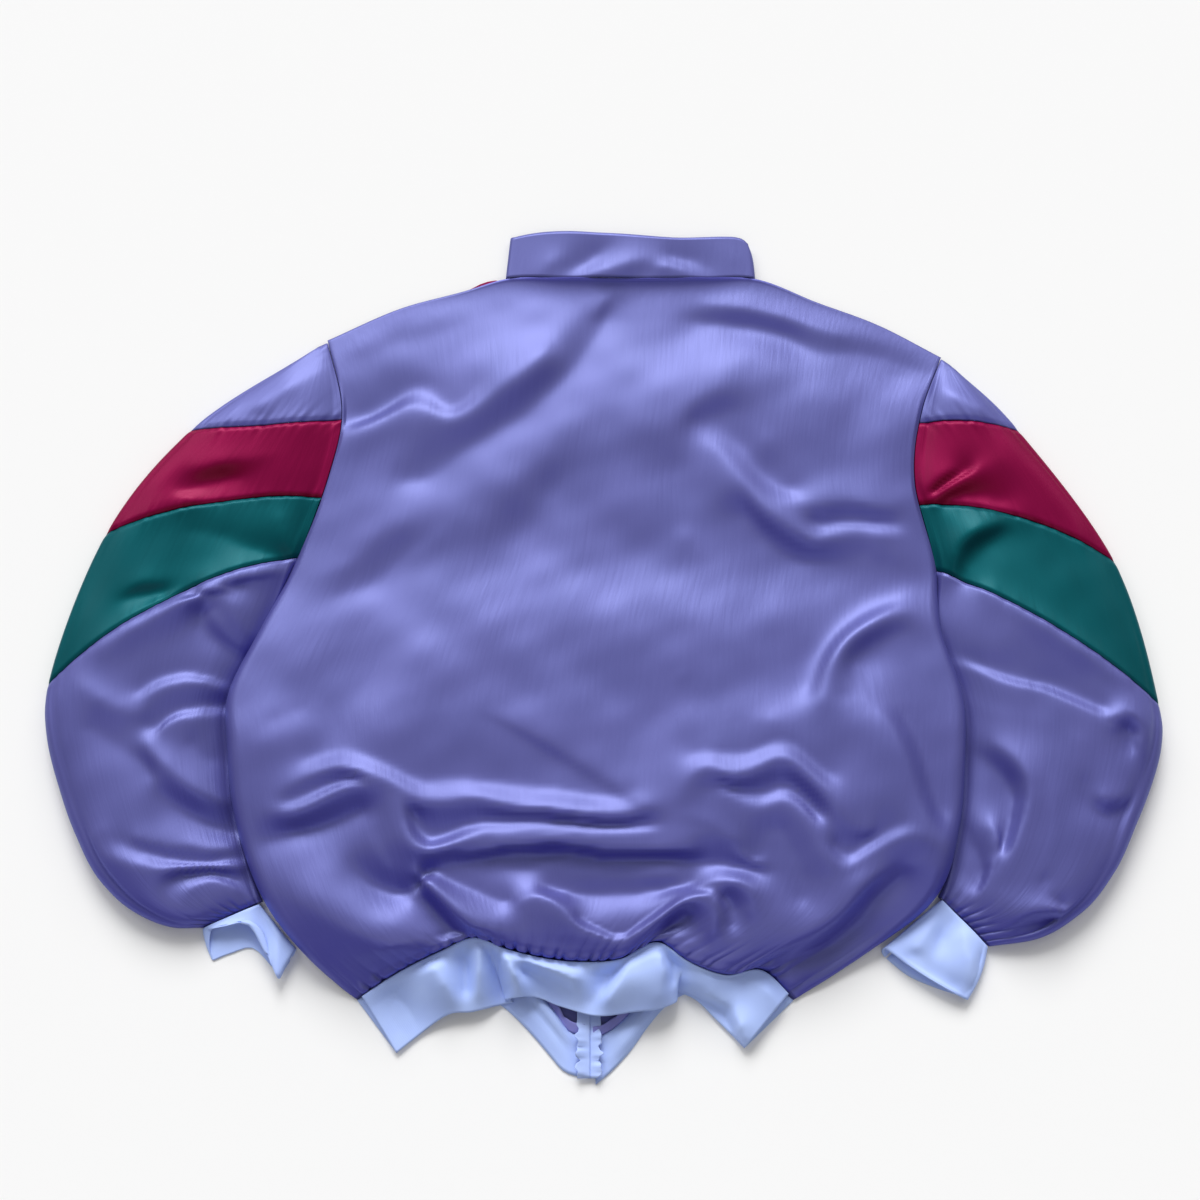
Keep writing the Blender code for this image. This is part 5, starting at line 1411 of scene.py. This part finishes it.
def make_sheet(name, grid, point, wall, look, cut, upside_down=False,
               fine_from=None, packed=True):
    """A grid of (columns, rows) moved onto its place and given a wall on its inner side.

    From the share fine_from of its rows on, it has twice the columns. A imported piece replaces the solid
    of its name.
    """
    material, slot = look
    node = name if packed else None
    name = name + "_cloth"
    bm = bmesh.new()
    bmesh.ops.create_grid(bm, x_segments=grid[0], y_segments=grid[1], size=0.5)
    if fine_from is not None:
        level = [edge for edge in bm.edges if abs(edge.verts[0].co.y - edge.verts[1].co.y) < 1e-6]
        fine = [edge for edge in level if 0.5 - edge.verts[0].co.y > fine_from]
        bmesh.ops.subdivide_edges(bm, edges=fine, cuts=1, use_grid_fill=True)
    if upside_down:
        bmesh.ops.reverse_faces(bm, faces=bm.faces)
    mesh = bpy.data.meshes.new(name)
    bm.to_mesh(mesh)
    bm.free()
    flat = np.empty(len(mesh.vertices) * 3)
    mesh.vertices.foreach_get("co", flat)
    shares = np.round(flat.reshape(-1, 3)[:, :2] * (1, -1) + 0.5, 6)
    places = np.stack(point(shares[:, 0], shares[:, 1]), axis=1)
    mesh.vertices.foreach_set("co", (places * MM).ravel())
    corners = np.empty(len(mesh.loops), int)
    mesh.loops.foreach_get("vertex_index", corners)
    layer = mesh.uv_layers.new(name="cut")
    layer.data.foreach_set("uv", (shares * cut)[corners].ravel())
    # Painted shade: how far each vertex faces away from the window, stored for the satin's colour
    away = mesh.attributes.new("away", "FLOAT", "POINT")
    away.data.foreach_set("value", painted_shade_share(mesh))
    piece = add_piece(name, mesh, material, node)
    solid = piece.modifiers.new("wall", "SOLIDIFY")
    solid.thickness = wall * MM
    solid.offset = -1
    return piece


def make_body(looks):
    """Back, back waistband, and on each side the yoke, the front and the front waistband."""
    lilac = looks["lilac_satin"]
    knit = looks["blue_knit"]
    make_sheet("back", (2 * ROLL_COLUMNS + BACK_COLUMNS, BACK_ROWS),
               lambda across, own: back_point(across, along(BACK_SPREAD, "down", own)),
               SATIN_WALL, lilac, CUTS["back"],
               fine_from=BACK_FINE_FROM)
    make_sheet("waistband_back", BACK_BAND_GRID, back_band_point, KNIT_WALL, knit, CUTS["waistband_back"])
    for side, letter in LETTERS.items():
        make_sheet("front_yoke_" + letter, YOKE_GRID,
                   lambda across, own: front_point(side, across, stretch(own, 0, YOKE_END - YOKE_GAP)),
                   SATIN_WALL, looks["magenta_satin"], CUTS["front_yoke"], upside_down=side < 0)
        make_sheet("front_" + letter, FRONT_GRID,
                   lambda across, own: front_point(side, across, stretch(own, YOKE_END, 1)),
                   SATIN_WALL, lilac, CUTS["front"], upside_down=side < 0)
        make_sheet("waistband_front_" + letter, FRONT_BAND_GRID,
                   lambda across, own: front_band_point(side, across, own),
                   KNIT_WALL, knit, CUTS["waistband_front"], upside_down=side < 0)


def make_collar(look):
    """Collar, in one sheet round the neck."""
    make_sheet("collar", (COLLAR_COLUMNS, COLLAR_ROWS), collar_point, SATIN_WALL, look, CUTS["collar"],
               upside_down=True)


def make_sleeves(looks):
    """On each side the four panels of the sleeve, and the cuff."""
    for side, letter in LETTERS.items():
        for panel in SLEEVE_PANELS:
            make_sheet("sleeve_" + letter + "_" + panel.name, (TUBE_COLUMNS, panel.rows),
                       lambda around, own: sleeve_point(side, panel, around, own),
                       SATIN_WALL, looks[panel.slot], panel.cut, upside_down=side > 0)
        make_sheet("cuff_" + letter, (TUBE_COLUMNS, CUFF_ROWS),
                   lambda around, own: cuff_point(side, around, own),
                   KNIT_WALL, looks["blue_knit"], CUTS["cuff"], upside_down=side > 0)


def add_block(bm, place, size):
    """A block of a size, in millimetres, about its own place."""
    block = bmesh.ops.create_cube(bm, size=MM)
    bmesh.ops.scale(bm, verts=block["verts"], vec=size)
    bmesh.ops.translate(bm, verts=block["verts"], vec=Vector(place) * MM)
    return block["verts"]


def make_coil(look):
    """Coil of the zip: short teeth by turns from the left and from the right tape, below the slider."""
    bm = bmesh.new()
    top = ZIP_TOP[1] + COLLAR_FRONT_DEEP - SLIDER_SIZE[1] - SEAM
    for number, y in enumerate(np.arange(top - TOOTH_PITCH, ZIP_END[1], -TOOTH_PITCH / 2)):
        side = 1 if number % 2 else -1
        add_block(bm, (zip_x(y) + side * TOOTH_SIZE[0] / 4, y, TOOTH_HEIGHT), TOOTH_SIZE)
    cut = bm.loops.layers.uv.new("cut")
    for face in bm.faces:
        for loop in face.loops:
            loop[cut].uv = loop.vert.co.xy
    mesh = bpy.data.meshes.new("zip_coil")
    bm.to_mesh(mesh)
    bm.free()
    add_piece("zip_coil", mesh, look[0], "zip_chain")


def make_slider(look):
    """Slider: two plates joined by a bridge near the upper end, the inner plate narrower below."""
    width, length, height = SLIDER_SIZE
    plate = height / 4
    bm = bmesh.new()
    add_block(bm, (0, 0, plate / 2), (width, length, plate))
    upper = add_block(bm, (0, 0, height - plate / 2), (width, length, plate))
    narrow = [vert for vert in upper if vert.co.y < 0]
    bmesh.ops.scale(bm, verts=narrow, vec=(SLIDER_TAPER, 1, 1))
    add_block(bm, (0, length / 3, height / 2), (width / 4, length / 4, height - 2 * plate))
    mesh = bpy.data.meshes.new("zip_slider_body")
    middle = ZIP_TOP[1] + COLLAR_FRONT_DEEP - length / 2
    bmesh.ops.translate(bm, verts=bm.verts, vec=Vector((zip_x(middle), middle, 0)) * MM)
    bm.to_mesh(mesh)
    bm.free()
    piece = add_piece("zip_slider_body", mesh, look[0], "zip_slider")
    rounding = piece.modifiers.new("rounded", "BEVEL")
    rounding.affect = "EDGES"
    rounding.width = SLIDER_ROUNDING * MM
    rounding.segments = 2
    rounding.profile = 0.5
    rounding.material = -1


def make_zip(looks):
    """Tapes and seam allowances of both sides, coil and slider."""
    for side, letter in LETTERS.items():
        make_sheet("zip_tape_" + letter, TAPE_GRID, lambda across, down: tape_point(side, across, down),
                   TAPE_WALL, looks["zip_nylon"], CUTS["zip_tape"], upside_down=side < 0)
        make_sheet("allowance_" + letter, ALLOWANCE_GRID,
                   lambda across, up: allowance_point(side, across, up),
                   TAPE_WALL, looks["overlock"], CUTS["allowance"], upside_down=side > 0, packed=False)
    make_coil(looks["zip_nylon"])
    make_slider(looks["zip_metal"])


# Floor, light and camera

def make_stage():
    """Near-white paper floor, the window and its fill, and the camera of the photo."""
    bm = bmesh.new()
    bmesh.ops.create_grid(bm, x_segments=1, y_segments=1, size=FLOOR_REACH)
    mesh = bpy.data.meshes.new("floor")
    bm.to_mesh(mesh)
    bm.free()
    # Matt uncoated paper: white without a gleam
    paper, _, _ = start_material("white_paper", Base_Color=srgb("#f0f0f0"), Roughness=0.9)
    mesh.materials.append(paper)
    floor = bpy.data.objects.new("floor", mesh)
    bpy.context.collection.objects.link(floor)

    world = bpy.data.worlds.new("studio")
    world.use_nodes = True
    room = world.node_tree.nodes["Background"]
    room.inputs["Color"].default_value = srgb("#ffffff")
    room.inputs["Strength"].default_value = ROOM_LIGHT
    bpy.context.scene.world = world
    for number, sun in enumerate(SUNS):
        lamp = bpy.data.lights.new("key_%d" % number, "SUN")
        lamp.energy = sun.power
        lamp.angle = np.radians(SUN_WIDTH)
        key = bpy.data.objects.new("key_%d" % number, lamp)
        key.rotation_euler = (-Vector((sun.x, sun.y, sun.z))).to_track_quat("-Z", "Y").to_euler()
        bpy.context.collection.objects.link(key)
    bpy.context.scene.view_settings.view_transform = "Standard"

    lens = bpy.data.cameras.new("camera")
    lens.lens = LENS
    lens.sensor_width = SENSOR
    camera = bpy.data.objects.new("camera", lens)
    rise = np.radians(CAMERA_ELEVATION)
    back = Vector((0, -np.cos(rise), np.sin(rise)))
    camera.location = (Vector(CAMERA_AIM) + back * CAMERA_AWAY) * MM
    camera.rotation_euler = (-back).to_track_quat("-Z", "Y").to_euler()
    bpy.context.collection.objects.link(camera)
    bpy.context.scene.camera = camera


def main():
    """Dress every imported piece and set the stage."""
    looks = make_looks()
    make_body(looks)
    make_collar(looks["lilac_satin"])
    make_sleeves(looks)
    make_zip(looks)
    make_stage()


main()
